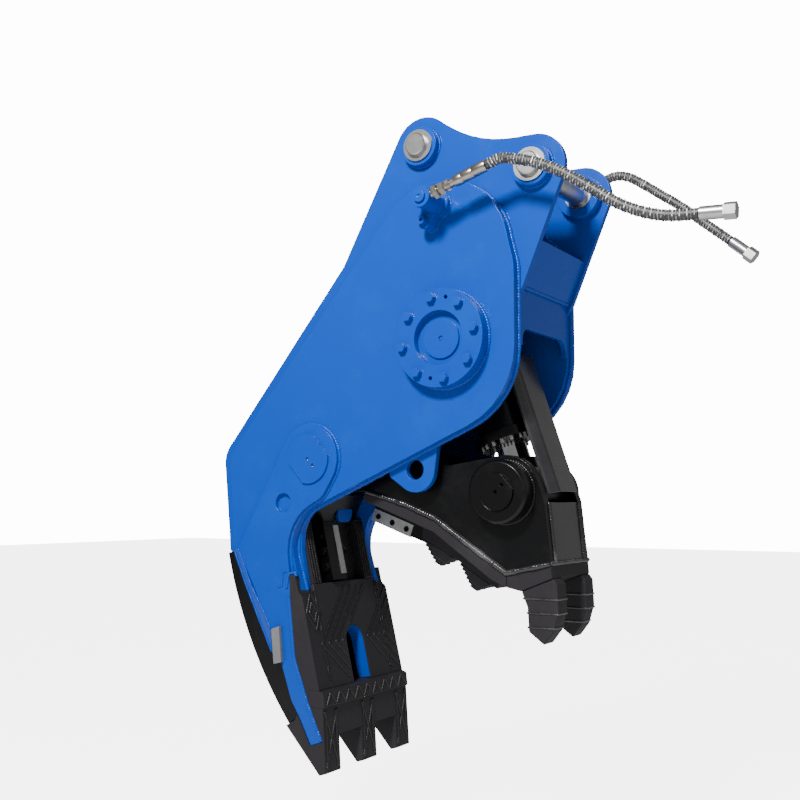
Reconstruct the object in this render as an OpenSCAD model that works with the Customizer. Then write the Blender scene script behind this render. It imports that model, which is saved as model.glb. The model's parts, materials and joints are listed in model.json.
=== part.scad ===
// Concrete pulverizer for the end of an excavator's arm: a welded body with a fixed jaw,
// a moving jaw on a cross pin, and a trunnion cylinder between the side plates that closes it.
// The stick pin's axis at mid width is the origin, X runs to the moving jaw, Z is up.

/* [Layout] */
// Height from the stick pin's axis to the fixed jaw's tooth tips
reach = 2100; // [1900:10:2300]
// Distance between the stick pin and the link pin
pin_centres = 460; // [430:5:500]
// Rise of the line from the stick pin to the link pin, in degrees
pin_line_rise = 18.5; // [14:0.5:24]

/* [Widths and plates] */
// Clear gap between the ears' inner bosses
ear_gap = 330; // [300:5:350]
// Gap between the two inner side plates
body_gap = 400; // [385:5:430]
// Thickness of an inner side plate, which carries the ears
inner_plate_t = 25; // [16:1:32]
// Thickness of an outer side plate
outer_plate_t = 37; // [25:1:45]
// Thickness of the raised doubler round the jaw pivot
doubler_t = 20; // [10:1:30]
// Thickness of the cross plates inside the body
cross_plate_t = 20; // [12:1:26]
// Step from a side plate's edge in to the cross plates
cross_inset = 12; // [5:1:25]

/* [Ears and pins] */
// Radius of an ear round its pin
ear_r = 115; // [100:1:125]
// Radius of the stick pin and the link pin
pin_r = 40; // [35:1:45]
// Radial running clearance of a pin in its bushes
pin_fit = 0.05; // [0.02:0.01:0.1]
// Depth of the groove beside each bush on a pin
pin_groove_depth = 2; // [1:0.5:4]
// Chamfer on a pin's ends
pin_chamfer = 4; // [1:0.5:8]
// Wall of an ear bush
ear_bush_wall = 10; // [6:1:14]
// Radius of the bright collar on an ear bush
ear_collar_r = 58; // [54:1:64]
// Thickness of that collar
ear_collar_t = 7; // [4:1:12]
// Radius of the welded ring round an ear bush
ear_boss_r = 72; // [66:1:80]
// Height of that ring on the ear's outer face
ear_boss_h = 30; // [10:1:36]
// Length of a pin past its collar
pin_end_proud = 20; // [10:1:30]
// Height of the dip between the ears over the line of the pins
ear_dip_rise = 50; // [30:1:70]
// Radius of the dip between the ears
ear_dip_r = 450; // [300:10:500]

/* [Outer plate] */
// Radius of the outer plate's round top
plate_top_r = 275; // [250:5:300]
// Corner radius at the foot of the front edge
front_corner_r = 290; // [60:5:300]
// Corner radius in the mouth
mouth_corner_r = 160; // [100:5:165]
// Corner radius at the knuckle of the back
knuckle_r = 100; // [20:5:120]

/* [Trunnion] */
// Radius of a trunnion journal on the cylinder
journal_r = 65; // [50:1:70]
// Wall of a trunnion bush
trunnion_bush_wall = 12; // [8:1:16]
// Radius of the spigot that seats a trunnion cap in the side plates
cap_spigot_r = 125; // [105:1:130]
// Radius of a trunnion cap's flange
cap_flange_r = 172; // [165:1:185]
// Thickness of a trunnion cap's flange
cap_flange_t = 50; // [35:1:60]
// Radius of the round recess in a cap's face
cap_recess_r = 95; // [80:1:110]
// Depth of that recess
cap_recess_depth = 28; // [10:1:30]
// Number of bolts in a trunnion cap
cap_bolt_count = 8; // [6:1:10]
// Radius of the cap's bolt circle
cap_bolt_circle_r = 142; // [130:1:150]
// Radius of a cap bolt's shank
cap_bolt_r = 9; // [6:0.5:10]

/* [Jaw pivot] */
// Radius of the jaw's pivot pin
pivot_pin_r = 75; // [60:1:80]
// Wall of a bush in the jaw's hub
hub_bush_wall = 10; // [6:1:14]
// Radius of the jaw's hub
hub_r = 105; // [98:1:110]
// Radius of the keyed cover over the pivot pin's end
pivot_cover_r = 92; // [84:1:100]
// Radius of the raised doubler round the pivot
doubler_r = 128; // [115:1:135]

/* [Moving jaw] */
// Width of the moving jaw over its cheeks
jaw_w = 330; // [300:2:350]
// Thickness of a jaw cheek
cheek_t = 40; // [25:1:45]
// Radius of a cheek round the hub
cheek_hub_r = 126; // [118:1:135]
// Radius of a cheek round the rod pin
cheek_eye_r = 126; // [118:1:140]
// Radius of a boss on the rod pin
rod_boss_r = 108; // [95:1:115]
// Height of a boss on its cheek
rod_boss_h = 70; // [30:1:75]
// Radius of the pin through the rod's eye
rod_pin_r = 63; // [50:1:66]
// Thickness of the wear plate under the jaw, at its thin end
jaw_pad_t = 45; // [30:1:50]
// Width of the pad that carries the crusher teeth
tooth_pad_w = 150; // [120:2:180]
// Height of a crusher tooth
crusher_h = 72; // [50:1:80]
// Number of ridges on a crusher tooth
crusher_ridges = 6; // [3:1:8]
// Thickness of a front tooth
front_tooth_t = 75; // [60:1:90]
// Distance of a front tooth's middle from the jaw's middle
front_tooth_y = 122; // [115:1:126]

/* [Shear blades] */
// Thickness of a shear blade
blade_t = 35; // [25:1:40]
// Gap between the two blades' shear faces
blade_gap = 1; // [0.5:0.1:2]
// Height of the moving blade
blade_h = 48; // [40:1:60]
// Length of the moving blade
blade_len = 186; // [160:2:200]
// Length of the fixed blade
fixed_blade_len = 190; // [160:2:210]
// Radius of a blade screw's head
blade_screw_r = 11; // [8:0.5:13]

/* [Fixed jaw] */
// Thickness of the fixed jaw's crushing plate
crush_plate_t = 60; // [40:1:70]
// Width of the slot in the crushing plate
slot_w = 114; // [80:2:120]
// Length of that slot
slot_len = 210; // [160:5:220]
// How far the crushing parts stand proud of the doublers
crush_side_proud = 3; // [1:0.5:6]
// Width of a fixed tooth
fixed_tooth_w = 95; // [80:1:110]
// Thickness of the wear plate along the back
dorsal_t = 35; // [25:1:45]
// Radius of the back's long curve
dorsal_r = 1560; // [1400:10:1700]

/* [Cylinder] */
// Radius of the cylinder's barrel
barrel_r = 100; // [92:1:105]
// Radius of the cylinder's bore
bore_r = 80; // [65:1:84]
// Radius of the piston rod
piston_rod_r = 55; // [45:1:60]
// Height of the piston
piston_h = 70; // [50:1:80]
// Radius of the gland's flange
gland_r = 120; // [114:1:122]
// Number of screws in the gland
gland_screws_count = 18; // [12:1:20]
// Radius of the rod's eye
eye_r = 100; // [92:1:104]
// Play of the rod pin in the eye, for the linkage opened at that pin
eye_play = 13.5; // [13:0.1:15]
// Width of the rod guard's front
guard_w = 144; // [120:2:160]
// Width of the rod guard over its flanges
guard_full_w = 220; // [200:2:230]
// Thickness of the rod guard's sheet
guard_t = 10; // [6:1:12]

/* [Ports and hoses] */
// Radius of a port block
port_r = 37; // [32:1:42]
// Length of a port block
port_len = 138; // [120:2:160]
// Radius of a hose over its guard's ribs
hose_r = 20; // [16:0.5:22]
// Depth of a rib on the hose's spiral guard
rib_depth = 3; // [1:0.5:4]
// Radius of a hose's bore
hose_bore_r = 9.5; // [7:0.5:11]
// Pitch of the hose guard's ribs
rib_pitch = 11; // [9:1:20]

/* [Lifting lugs] */
// Radius of the hole in a lifting lug
lug_hole_r = 35; // [28:1:40]

/* [Hidden] */
$fn = 64;

// Paint and metal colours
paint = "dodgerblue";
wear_black = "dimgray";
dark = [0.16, 0.16, 0.17];
steel = "silver";

// Steps in a rounded corner and in a large arc
corner_steps = 6;
arc_steps = 20;
// Depth that a cut runs past the faces it opens
overrun = 5;
// Running clearance of large pins in their bushes
running_fit = 0.05;
// Clearance round bolts and screws
screw_fit = 0.4;

// Places across the width
inner_y = body_gap / 2;
ear_y = inner_y + inner_plate_t;
outer_y = ear_y + outer_plate_t;
skin_y = outer_y + doubler_t;
crush_y = skin_y + crush_side_proud;
cheek_y = jaw_w / 2;
cheek_in_y = cheek_y - cheek_t;

// Pivots, as shares of the reach
trunnion_shares = [-0.155, -0.271];
pivot_shares = [-0.427, -0.462];
rod_pin_shares = [-0.070, -0.522];
trunnion_at = trunnion_shares * reach;
pivot_at = pivot_shares * reach;
rod_pin_at = rod_pin_shares * reach;
stick_at = [0, 0];
link_at = pin_centres * [-cos(pin_line_rise), sin(pin_line_rise)];
// Corners of the side plates, as shares of the reach
ear_foot_shares = [-0.020, -0.190];
back_bend_shares = [-0.373, -0.119];
knuckle_shares = [-0.646, -0.448];
inner_front_shares = [[-0.031, -0.210], [-0.031, -0.376], [-0.460, -0.561], [-0.460, -0.624]];
outer_front_shares = [[-0.0286, -0.157], [-0.029, -0.379], [-0.4676, -0.5664], [-0.4667, -0.6286]];
plate_top_shares = [-0.1692, -0.1307];
outer_knuckle_shares = [-0.6176, -0.4524];
lower_front_shares = [
    [-0.447, -0.693], [-0.4643, -0.702], [-0.455, -0.781], [-0.451, -0.810], [-0.421, -0.885], [-0.391, -0.944]
];
lower_back_shares = [
    [-0.417, -0.953], [-0.442, -0.907], [-0.463, -0.860], [-0.490, -0.800], [-0.521, -0.768], [-0.6276, -0.626]
];
outer_back_shares = [
    [-0.417, -0.953], [-0.442, -0.907], [-0.463, -0.860], [-0.480, -0.824], [-0.5114, -0.8033], [-0.5386, -0.7529],
    [-0.6024, -0.626]
];
doubler_front_shares = [[-0.3976, -0.530], [-0.4714, -0.5676], [-0.4714, -0.6286], [-0.4662, -0.6662]];
doubler_back_shares = [
    [-0.417, -0.953], [-0.4425, -0.907], [-0.460, -0.881], [-0.4824, -0.8205], [-0.507, -0.762], [-0.5857, -0.6219]
];
// Right side of the narrow tongue at the crushing plate's top
tongue_share = [-0.4538, -0.6648];
// The crushing face, from its top to the crossbar
face_shares = [[-0.469, -0.571], [-0.399, -0.860]];
throat_depth_share = 0.388;
// Jaw outline, as shares of the reach
bead_shares = [
    [-0.343, -0.519], [-0.261, -0.542], [-0.203, -0.565], [-0.135, -0.610], [-0.070, -0.652], [0.008, -0.635]
];
wear_shares = [[-0.349, -0.535], [-0.207, -0.588], [-0.096, -0.665], [-0.070, -0.675]];
nose_shares = [[-0.045, -0.680], [0.010, -0.658]];
jaw_front_shares = [[-0.015, -0.493], [-0.002, -0.538]];
jaw_top_shares = [-0.175, -0.477];
front_tooth_shares = [[-0.045, -0.680], [-0.035, -0.705], [-0.033, -0.743], [-0.007, -0.762], [0.010, -0.740],
    [0.019, -0.710], [0.017, -0.667], [0.010, -0.658]];
// Teeth of the fixed jaw, as shares of the reach
crossbar_shares = [[-0.399, -0.860], [-0.390, -0.863], [-0.387, -0.886], [-0.391, -0.889], [-0.421, -0.889],
    [-0.421, -0.860]];
tooth_shares = [[-0.391, -0.889], [-0.384, -0.996], [-0.397, -1.000], [-0.469, -0.924], [-0.452, -0.915],
    [-0.435, -0.889]];
tooth_root_shares = [[-0.391, -0.889], [-0.388, -0.937], [-0.440, -0.954], [-0.469, -0.924], [-0.452, -0.915],
    [-0.435, -0.889]];
dorsal_shares = [[-0.6165, -0.631], [-0.471, -0.924]];
side_bar_shares = [[-0.500, -0.761], [-0.4824, -0.7548], [-0.4767, -0.8167], [-0.4933, -0.821]];
port_shares = [-0.164, -0.044];
doubler_recess_shares = [-0.4824, -0.5393];
floor_shares = [[-0.085, -0.079], [-0.262, -0.076], [-0.345, -0.060]];
panel_top_share = 0.42;
back_bend_r = 40;
back_top_share = 0.32;
lug_shares = [[-0.276, -0.480], [-0.2738, -0.4957], [-0.178, -0.430]];
lug_hole_shares = [-0.224, -0.484];
gusset_from_share = 0.15;
gusset_to_share = 0.9;

// Small sizes of the body
doubler_recess_r = 36;
doubler_recess_depth = 18;
doubler_waist_r = 100;
plate_shoulder_r = 200;
mouth_foot_r = 120;
outer_top_end = 8;
lug_r = 80;
inner_boss_step = 10;
pin_groove_gap = 0.5;
pin_groove_w = 4;
guard_start = 172;
guard_end = 235;
bar_t = 18;
gusset_t = 16;
gusset_rise = 70;
gusset_y_share = 0.62;
cover_bar_h = 200;
cover_side_w = 15;
cover_open_top = 140;
cover_open_r = 45;
guard_ring_r = 150;
stop_w = 100;
stop_len = 114;
stop_t = 18;
stop_y = 52;
stop_shares = [-0.475, -0.522];

// Small sizes of the trunnion caps and pins
cap_boss_r = 70;
cap_boss_h = 8;
cap_hole_r = 9;
journal_end_gap = 5;
cap_web = 28;
bolt_head_h = 20;
tapped_hole_r = 7;
pin_cover_t = 8;
pin_cover_flat_share = 0.82;
pin_cover_hole_r = 6;
pin_cover_hole_y = 24;
hub_side_gap = 5;
plug_head_h = 9;

// Small sizes of the fixed jaw
liner_t = 25;
liner_recess = 40;
rail_w = 55;
joint_gap = 0.3;
holder_from = 5;
holder_w = 57;
holder_back = 62;
holder_proud = 15;
fixed_blade_from = 25;
holder_past_blade = 21;
holder_end_gap = 6;
holder_to = fixed_blade_from + fixed_blade_len + holder_past_blade;
upper_face_len = holder_to + holder_end_gap;
fixed_blade_proud = 18;
fixed_blade_back = 30;
cavity_w = 48;
blade_bolt_r = 10;
blade_nut_r = 18;
blade_nut_h = 15;

// Small sizes of the moving jaw
blade_slope = -20;
blade_corner_shares = [-0.375, -0.549];
seat_shares = [[-0.349, -0.535], [-0.377, -0.548], [-0.381, -0.569], [-0.262, -0.612], [-0.2545, -0.600]];
seat_end_share = 0.665;
seat_t = 58;
blade_screw_edge = 26;
screw_recess = 6;
front_plate_t = 25;
crusher_base_w = 138;
crusher_tip_w = 34;
pad_shares = [[-0.253, -0.566], [-0.253, -0.600], [-0.191, -0.632], [-0.109, -0.682], [-0.096, -0.662],
    [-0.207, -0.580]];
boss_chamfer = 8;

// Small sizes of the cylinder
rod_to_trunnion = norm(rod_pin_at - trunnion_at);
cylinder_tilt = -atan2(rod_pin_at.x - trunnion_at.x, trunnion_at.y - rod_pin_at.y);
gland_from_pin = 190;
gland_t = 35;
gland_spigot_h = 46;
gland_low = gland_from_pin - rod_to_trunnion;
barrel_low = gland_low + gland_t;
barrel_top = 300;
barrel_end_t = 40;
barrel_end_proud = 4;
trunnion_ring_r = 118;
trunnion_ring_h = 140;
trunnion_boss_r = 85;
trunnion_boss_y = 150;
screw_head_r = 9;
screw_head_h = 14;
rod_top_gap = 5;
rod_spigot_r = 35;
piston_gap = 0.3;
eye_side_gap = 7;
eye_neck_r = 72;
eye_neck_len = 110;
guard_front = 156;
guard_flange_back = 26;
guard_below_pin = 50;
guard_above_pin = 470;
guard_bracket_w = 100;
guard_bracket_h = 60;

// Small sizes of the ports and fittings
foot_r = 46;
foot_t = 26;
foot_lobe_t = 60;
foot_lobe_shares = [-0.015, -0.030];
foot_lobe_r = 27;
clamp_head_r = 15;
clamp_head_h = 20;
socket_r = 7;
fitting_y = 375;
plug_hex_r = 22;
nut_hex_r = 27;
adapter_r = 17;
adapter_len = 20;
nut_len = 34;
ferrule_r = 21;
ferrule_neck_r = 15;
ferrule_neck_len = 55;
end_ferrule_len = 70;
end_nut_len = 36;

// Routes of the hoses' middle lines
near_route = [
    [-100, -375, -18], [-62, -375, -6.4], [0, -378, -17], [65, -380, -38], [140, -380, -74], [212, -380, -120],
    [284, -380, -172], [352, -380, -221], [420, -380, -256], [486, -380, -278], [550, -380, -287],
    [600, -380, -290]
];
far_route = [
    [-122, 375, 36], [-87, 375, 56.2], [-30, 378, 88], [25, 380, 110], [75, 380, 120], [125, 380, 106],
    [165, 380, 80], [208, 380, 48], [290, 380, -14], [346, 380, -60], [400, 380, -108], [460, 380, -160],
    [500, 380, -195]
];

// Points of outlines, in the plane of X and Z
function at(shares) = [for (s = shares) s * reach];
function unit(v) = v / norm(v);
function arc(centre, radius, from, to, steps) =
    [for (i = [0 : steps]) let (a = from + (to - from) * i / steps) centre + radius * [cos(a), sin(a)]];
function short_turn(a) = a > 180 ? a - 360 : a < -180 ? a + 360 : a;
function fillet(before, corner, after, radius) =
    let (
        u = unit(before - corner),
        w = unit(after - corner),
        half = acos(u * w) / 2,
        centre = corner + unit(u + w) * radius / sin(half),
        start = corner + u * radius / tan(half) - centre,
        finish = corner + w * radius / tan(half) - centre,
        from = atan2(start.y, start.x),
        turn = short_turn(atan2(finish.y, finish.x) - from)
    )
    arc(centre, radius, from, from + turn, corner_steps);
// Rounds the corners of a list whose radius isn't zero; the list is treated as a closed loop
function rounded(corners, radii) =
    let (n = len(corners))
    [for (i = [0 : n - 1])
        each radii[i] == 0 ? [corners[i]]
            : fillet(corners[(i + n - 1) % n], corners[i], corners[(i + 1) % n], radii[i])];
// A plate's section: a band from a to b, set in from the line by inset on its left side
function strip(a, b, inset, t) =
    let (u = unit(b - a), n = [-u.y, u.x])
    [a + n * inset, b + n * inset, b + n * (inset + t), a + n * (inset + t)];
function backward(points) = [for (i = [len(points) - 1 : -1 : 0]) points[i]];
function lowered(points, t) = [for (p = points) p - [0, t]];
function tangent_angle(centre, radius, target, side) =
    let (v = target - centre) atan2(v.y, v.x) + side * acos(radius / norm(v));
// A point on the fixed jaw's crushing face: along it from its top, and out from it
face_top = face_shares[0] * reach;
face_dir = unit(face_shares[1] - face_shares[0]);
face_out = [-face_dir.y, face_dir.x];
face_len = norm(face_shares[1] - face_shares[0]) * reach;
function face(along, out) = face_top + face_dir * along + face_out * out;

lower_front = at(lower_front_shares);
lower_back = at(lower_back_shares);
ear_foot = ear_foot_shares * reach;
back_bend = back_bend_shares * reach;
knuckle = knuckle_shares * reach;
ear_dip = link_at / 2 + ear_dip_rise * [sin(pin_line_rise), cos(pin_line_rise)];
link_ear_from = tangent_angle(link_at, ear_r, back_bend, -1) + 360;
link_ear_to = 45;
stick_ear_to = tangent_angle(stick_at, ear_r, ear_foot, 1);
link_ear = arc(link_at, ear_r, link_ear_from, link_ear_to, arc_steps);
stick_ear = arc(stick_at, ear_r, 90, stick_ear_to, arc_steps);
front_corners = concat([ear_foot], at(inner_front_shares), lower_front, lower_back, [knuckle, back_bend]);
front_radii = concat([0, 0, front_corner_r, mouth_corner_r - (outer_y - inner_y) / 3, mouth_foot_r],
    [for (p = lower_front) 0], [for (p = lower_back) 0], [knuckle_r, back_bend_r]);
inner_corners = concat([stick_ear[arc_steps]], front_corners, [link_ear[0]]);
inner_radii = concat([0], front_radii, [0]);
inner_outline = concat(link_ear, fillet(link_ear[arc_steps], ear_dip, stick_ear[0], ear_dip_r), stick_ear,
    rounded(inner_corners, inner_radii));

plate_top = plate_top_shares * reach;
outer_knuckle = outer_knuckle_shares * reach;
outer_back = at(outer_back_shares);
outer_top_from = tangent_angle(plate_top, plate_top_r, outer_knuckle, -1) + 360;
outer_top = arc(plate_top, plate_top_r, outer_top_from, outer_top_end, arc_steps);
outer_corners = concat([outer_top[arc_steps]], at(outer_front_shares), lower_front, outer_back, [outer_knuckle],
    [outer_top[0]]);
outer_radii = concat([0, plate_shoulder_r, front_corner_r, mouth_corner_r, mouth_foot_r], [for (p = lower_front) 0],
    [for (p = outer_back) 0], [knuckle_r, 0]);
outer_outline = concat(outer_top, rounded(outer_corners, outer_radii));

doubler_front = at(doubler_front_shares);
doubler_back = at(doubler_back_shares);
doubler_from = tangent_angle(pivot_at, doubler_r, doubler_back[5], -1) + 360;
doubler_to = tangent_angle(pivot_at, doubler_r, doubler_front[0], 1);
doubler_arc = arc(pivot_at, doubler_r, doubler_from, doubler_to, arc_steps);
doubler_corners = concat([doubler_arc[arc_steps]], doubler_front, [for (i = [1 : 5]) lower_front[i]], doubler_back,
    [doubler_arc[0]]);
doubler_radii = concat([0, doubler_waist_r, mouth_corner_r + doubler_t, mouth_foot_r, 0],
    [for (i = [1 : 5]) 0], [for (p = doubler_back) 0], [0]);
doubler_outline = concat(doubler_arc, rounded(doubler_corners, doubler_radii));

dorsal_ends = at(dorsal_shares);
dorsal_half = norm(dorsal_ends[1] - dorsal_ends[0]) / 2;
dorsal_side = unit(dorsal_ends[1] - dorsal_ends[0]);
dorsal_centre = (dorsal_ends[0] + dorsal_ends[1]) / 2
    + [-dorsal_side.y, dorsal_side.x] * sqrt(dorsal_r * dorsal_r - dorsal_half * dorsal_half);
function angle_of(v) = atan2(v.y, v.x);
dorsal_from = angle_of(dorsal_ends[0] - dorsal_centre) + 360;
dorsal_to = angle_of(dorsal_ends[1] - dorsal_centre) + 360;

jaw_bead = at(bead_shares);
jaw_wear = at(wear_shares);
wear_outline = concat([for (i = [0 : 4]) jaw_bead[i]], backward(jaw_wear));
jaw_nose = at(nose_shares);

// Shapes
// A plate lying in the plane of X and Z, between two places across the width
module slab(points, low, high) {
    translate([0, high, 0])
        rotate([90, 0, 0])
            linear_extrude(high - low)
                polygon(points);
}

// A round bar across the width
module bar(place, radius, low, high) {
    translate([place.x, high, place.y])
        rotate([90, 0, 0])
            cylinder(h = high - low, r = radius);
}

// A hexagonal bar across the width
module hex_bar(place, radius, low, high) {
    translate([place.x, high, place.y])
        rotate([90, 0, 0])
            cylinder(h = high - low, r = radius, $fn = 6);
}

// A plate lying in the plane of Y and Z, between two places along X
module wall(points, low, high) {
    translate([low, 0, 0])
        rotate([90, 0, 90])
            linear_extrude(high - low)
                polygon(points);
}

module mirrored() {
    mirror([0, 1, 0])
        children();
}

module both_sides() {
    children();
    mirrored()
        children();
}

// Puts a shape drawn along Z on the line that rises by an angle from a place
module along(place, y, angle) {
    translate([place.x, y, place.y])
        rotate([0, 90 - angle, 0])
            children();
}

// Side plates
module side_plate() {
    difference() {
        slab(inner_outline, inner_y, ear_y);
        bar(stick_at, pin_r + pin_fit + ear_bush_wall, inner_y - overrun, ear_y + overrun);
        bar(link_at, pin_r + pin_fit + ear_bush_wall, inner_y - overrun, ear_y + overrun);
        bar(trunnion_at, cap_spigot_r, inner_y - overrun, ear_y + overrun);
        bar(pivot_at, pivot_pin_r, inner_y - overrun, ear_y + overrun);
    }
}

module side_plate_near() {
    color(paint)
        mirrored()
            side_plate();
}

module side_plate_far() {
    color(paint)
        side_plate();
}

module outer_plate() {
    difference() {
        slab(outer_outline, ear_y, outer_y);
        bar(trunnion_at, cap_spigot_r, ear_y - overrun, outer_y + overrun);
        bar(pivot_at, pivot_pin_r, ear_y - overrun, outer_y + overrun);
    }
}

module outer_plate_near() {
    color(paint)
        mirrored()
            outer_plate();
}

module outer_plate_far() {
    color(paint)
        outer_plate();
}

module pivot_doublers() {
    color(paint)
        both_sides()
            difference() {
                slab(doubler_outline, outer_y, skin_y);
                bar(pivot_at, pivot_pin_r, outer_y - overrun, skin_y + overrun);
                bar(doubler_recess_shares * reach, doubler_recess_r, skin_y - doubler_recess_depth, skin_y + overrun);
            }
}

// Ears, their bushes and the two mounting pins
module ear_bosses() {
    color(paint)
        both_sides()
            for (place = [stick_at, link_at]) {
                difference() {
                    bar(place, ear_boss_r, ear_y, ear_y + ear_boss_h);
                    bar(place, pin_r + pin_fit + ear_bush_wall, ear_y - overrun, ear_y + ear_boss_h + overrun);
                }
                difference() {
                    bar(place, ear_boss_r + inner_boss_step, ear_gap / 2, inner_y);
                    bar(place, pin_r + pin_fit + ear_bush_wall, ear_gap / 2 - overrun, inner_y + overrun);
                }
            }
}

module ear_bushes() {
    color(steel)
        both_sides()
            for (place = [stick_at, link_at]) {
                difference() {
                    union() {
                        bar(place, pin_r + pin_fit + ear_bush_wall, ear_gap / 2, ear_y + ear_boss_h);
                        bar(place, ear_collar_r, ear_y + ear_boss_h, ear_y + ear_boss_h + ear_collar_t);
                    }
                    bar(place, pin_r + pin_fit, ear_gap / 2 - overrun, ear_y + ear_boss_h + ear_collar_t + overrun);
                }
            }
}

module mounting_pin(place) {
    end_y = ear_y + ear_boss_h + ear_collar_t + pin_end_proud;
    groove_r = pin_r - pin_groove_depth;
    groove_from = ear_gap / 2 - pin_groove_gap;
    groove_to = groove_from + pin_groove_w;
    translate([place.x, 0, place.y])
        rotate([90, 0, 0])
            rotate_extrude()
                polygon([
                    [0, -end_y], [pin_r - pin_chamfer, -end_y], [pin_r, -end_y + pin_chamfer], [pin_r, -groove_to],
                    [groove_r, -groove_to], [groove_r, -groove_from], [pin_r, -groove_from], [pin_r, groove_from],
                    [groove_r, groove_from], [groove_r, groove_to], [pin_r, groove_to], [pin_r, end_y - pin_chamfer],
                    [pin_r - pin_chamfer, end_y], [0, end_y]
                ]);
}

module stick_pin() {
    color(steel)
        mounting_pin(stick_at);
}

module link_pin() {
    color(steel)
        mounting_pin(link_at);
}

// Trunnion caps, bolted to the outer plates, hold the cylinder's journals
module trunnion_cap() {
    flange_y = outer_y + cap_flange_t;
    bearing_y = flange_y - cap_recess_depth - cap_web;
    bush_r = journal_r + running_fit + trunnion_bush_wall;
    difference() {
        union() {
            bar(trunnion_at, cap_flange_r, outer_y, flange_y);
            bar(trunnion_at, cap_spigot_r, inner_y, outer_y);
        }
        difference() {
            bar(trunnion_at, cap_recess_r, flange_y - cap_recess_depth, flange_y + overrun);
            bar(trunnion_at, cap_boss_r, flange_y - cap_recess_depth, flange_y - cap_recess_depth + cap_boss_h);
        }
        bar(trunnion_at, bush_r, inner_y - overrun, bearing_y);
        bar(trunnion_at, cap_hole_r, bearing_y - overrun, flange_y);
        for (i = [0 : cap_bolt_count - 1])
            bar(trunnion_at + cap_bolt_circle_r * [cos(cap_bolt_angle(i)), sin(cap_bolt_angle(i))], cap_bolt_r,
                outer_y, flange_y + overrun);
        for (i = [2, 2 + cap_bolt_count / 2])
            bar(trunnion_at + cap_bolt_circle_r * [cos(cap_bolt_angle(i + 1 / 2)), sin(cap_bolt_angle(i + 1 / 2))],
                tapped_hole_r, flange_y - cap_recess_depth, flange_y + overrun);
    }
}

cap_bolt_phase = -35;
function cap_bolt_angle(i) = cap_bolt_phase + 360 * i / cap_bolt_count;

module trunnion_cap_near() {
    color(paint)
        mirrored()
            trunnion_cap();
}

module trunnion_cap_far() {
    color(paint)
        trunnion_cap();
}

module trunnion_cap_bolts() {
    flange_y = outer_y + cap_flange_t;
    color(paint)
        both_sides()
            for (i = [0 : cap_bolt_count - 1]) {
                place = trunnion_at + cap_bolt_circle_r * [cos(cap_bolt_angle(i)), sin(cap_bolt_angle(i))];
                bar(place, cap_bolt_r, outer_y, flange_y);
                hex_bar(place, cap_bolt_r * 2, flange_y, flange_y + bolt_head_h);
            }
}

module trunnion_bushes() {
    bearing_y = outer_y + cap_flange_t - cap_recess_depth - cap_web;
    color("peru")
        both_sides()
            difference() {
                bar(trunnion_at, journal_r + running_fit + trunnion_bush_wall, inner_y, bearing_y - journal_end_gap);
                bar(trunnion_at, journal_r + running_fit, inner_y - overrun, bearing_y);
            }
}

// Jaw pivot
module jaw_pivot_pin() {
    color(steel)
        bar(pivot_at, pivot_pin_r, -skin_y, skin_y);
}

module pivot_pin_covers() {
    flat = pivot_cover_r * pin_cover_flat_share;
    color(paint)
        both_sides()
            difference() {
                bar(pivot_at, pivot_cover_r, skin_y, skin_y + pin_cover_t);
                for (side = [-1, 1])
                    translate([pivot_at.x, 0, pivot_at.y])
                        rotate([0, pin_cover_turn, 0])
                            translate([side * (flat + pivot_cover_r / 2), skin_y + pin_cover_t / 2, 0])
                                cube([pivot_cover_r, pin_cover_t * 2, pivot_cover_r * 2], center = true);
                for (side = [0, 1])
                    bar(pivot_at + side * pin_cover_hole_y * [1, -1], pin_cover_hole_r, skin_y - overrun,
                        skin_y + pin_cover_t + overrun);
            }
}

pin_cover_turn = -42;

// Hidden cross plates and the front of the body
module back_plates() {
    from_top = back_bend + (link_ear[0] - back_bend) * back_top_share;
    color(paint)
        union() {
            slab(strip(from_top, back_bend, cross_inset, cross_plate_t), -inner_y, inner_y);
            slab(strip(back_bend, knuckle, cross_inset, cross_plate_t), -inner_y, inner_y);
            slab(strip(knuckle, lower_back[5], cross_inset, cross_plate_t), -inner_y, inner_y);
        }
}

module front_cover() {
    front_x = inner_front_shares[0].x * reach;
    top_z = ear_foot.y;
    open_half = inner_y - cover_side_w;
    color(paint)
        wall(
            concat(
                [[-inner_y, top_z - cover_bar_h], [-inner_y, top_z], [inner_y, top_z], [inner_y, top_z - cover_bar_h],
                    [open_half, top_z - cover_bar_h]],
                arc([open_half - cover_open_r, top_z - cover_open_top - cover_open_r], cover_open_r, 0, 90, corner_steps),
                arc([cover_open_r - open_half, top_z - cover_open_top - cover_open_r], cover_open_r, 90, 180,
                    corner_steps),
                [[-open_half, top_z - cover_bar_h]]
            ),
            front_x - cross_plate_t,
            front_x
        );
}

module ear_cross_plates() {
    front_x = inner_front_shares[0].x * reach;
    color(paint)
        union() {
            slab(concat([[front_x, ear_foot.y]], panel_band, [[front_x - cross_plate_t, ear_foot.y]]), -inner_y,
                inner_y);
            difference() {
                slab(concat(floor_path, backward(lowered(floor_path, cross_plate_t))), -inner_y, inner_y);
                slab(strip(link_ear[0], back_bend, -cross_inset, cross_inset * 2 + cross_plate_t), -ear_y, ear_y);
            }
        }
}

// The front panel's band, and the floor's line from the middle of the panel's top edge
panel_top = ear_foot + (stick_ear[arc_steps] - ear_foot) * panel_top_share;
panel_band = strip(ear_foot, panel_top, cross_inset, cross_plate_t);
floor_path = concat([(panel_band[1] + panel_band[2]) / 2], at(floor_shares));

module ear_gussets() {
    front = floor_path[0] + (floor_path[1] - floor_path[0]) * gusset_from_share;
    back = floor_path[0] + (floor_path[1] - floor_path[0]) * gusset_to_share;
    color(paint)
        both_sides()
            slab([front, back, back + [0, gusset_rise]], inner_y * gusset_y_share,
                inner_y * gusset_y_share + gusset_t);
}

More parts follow.
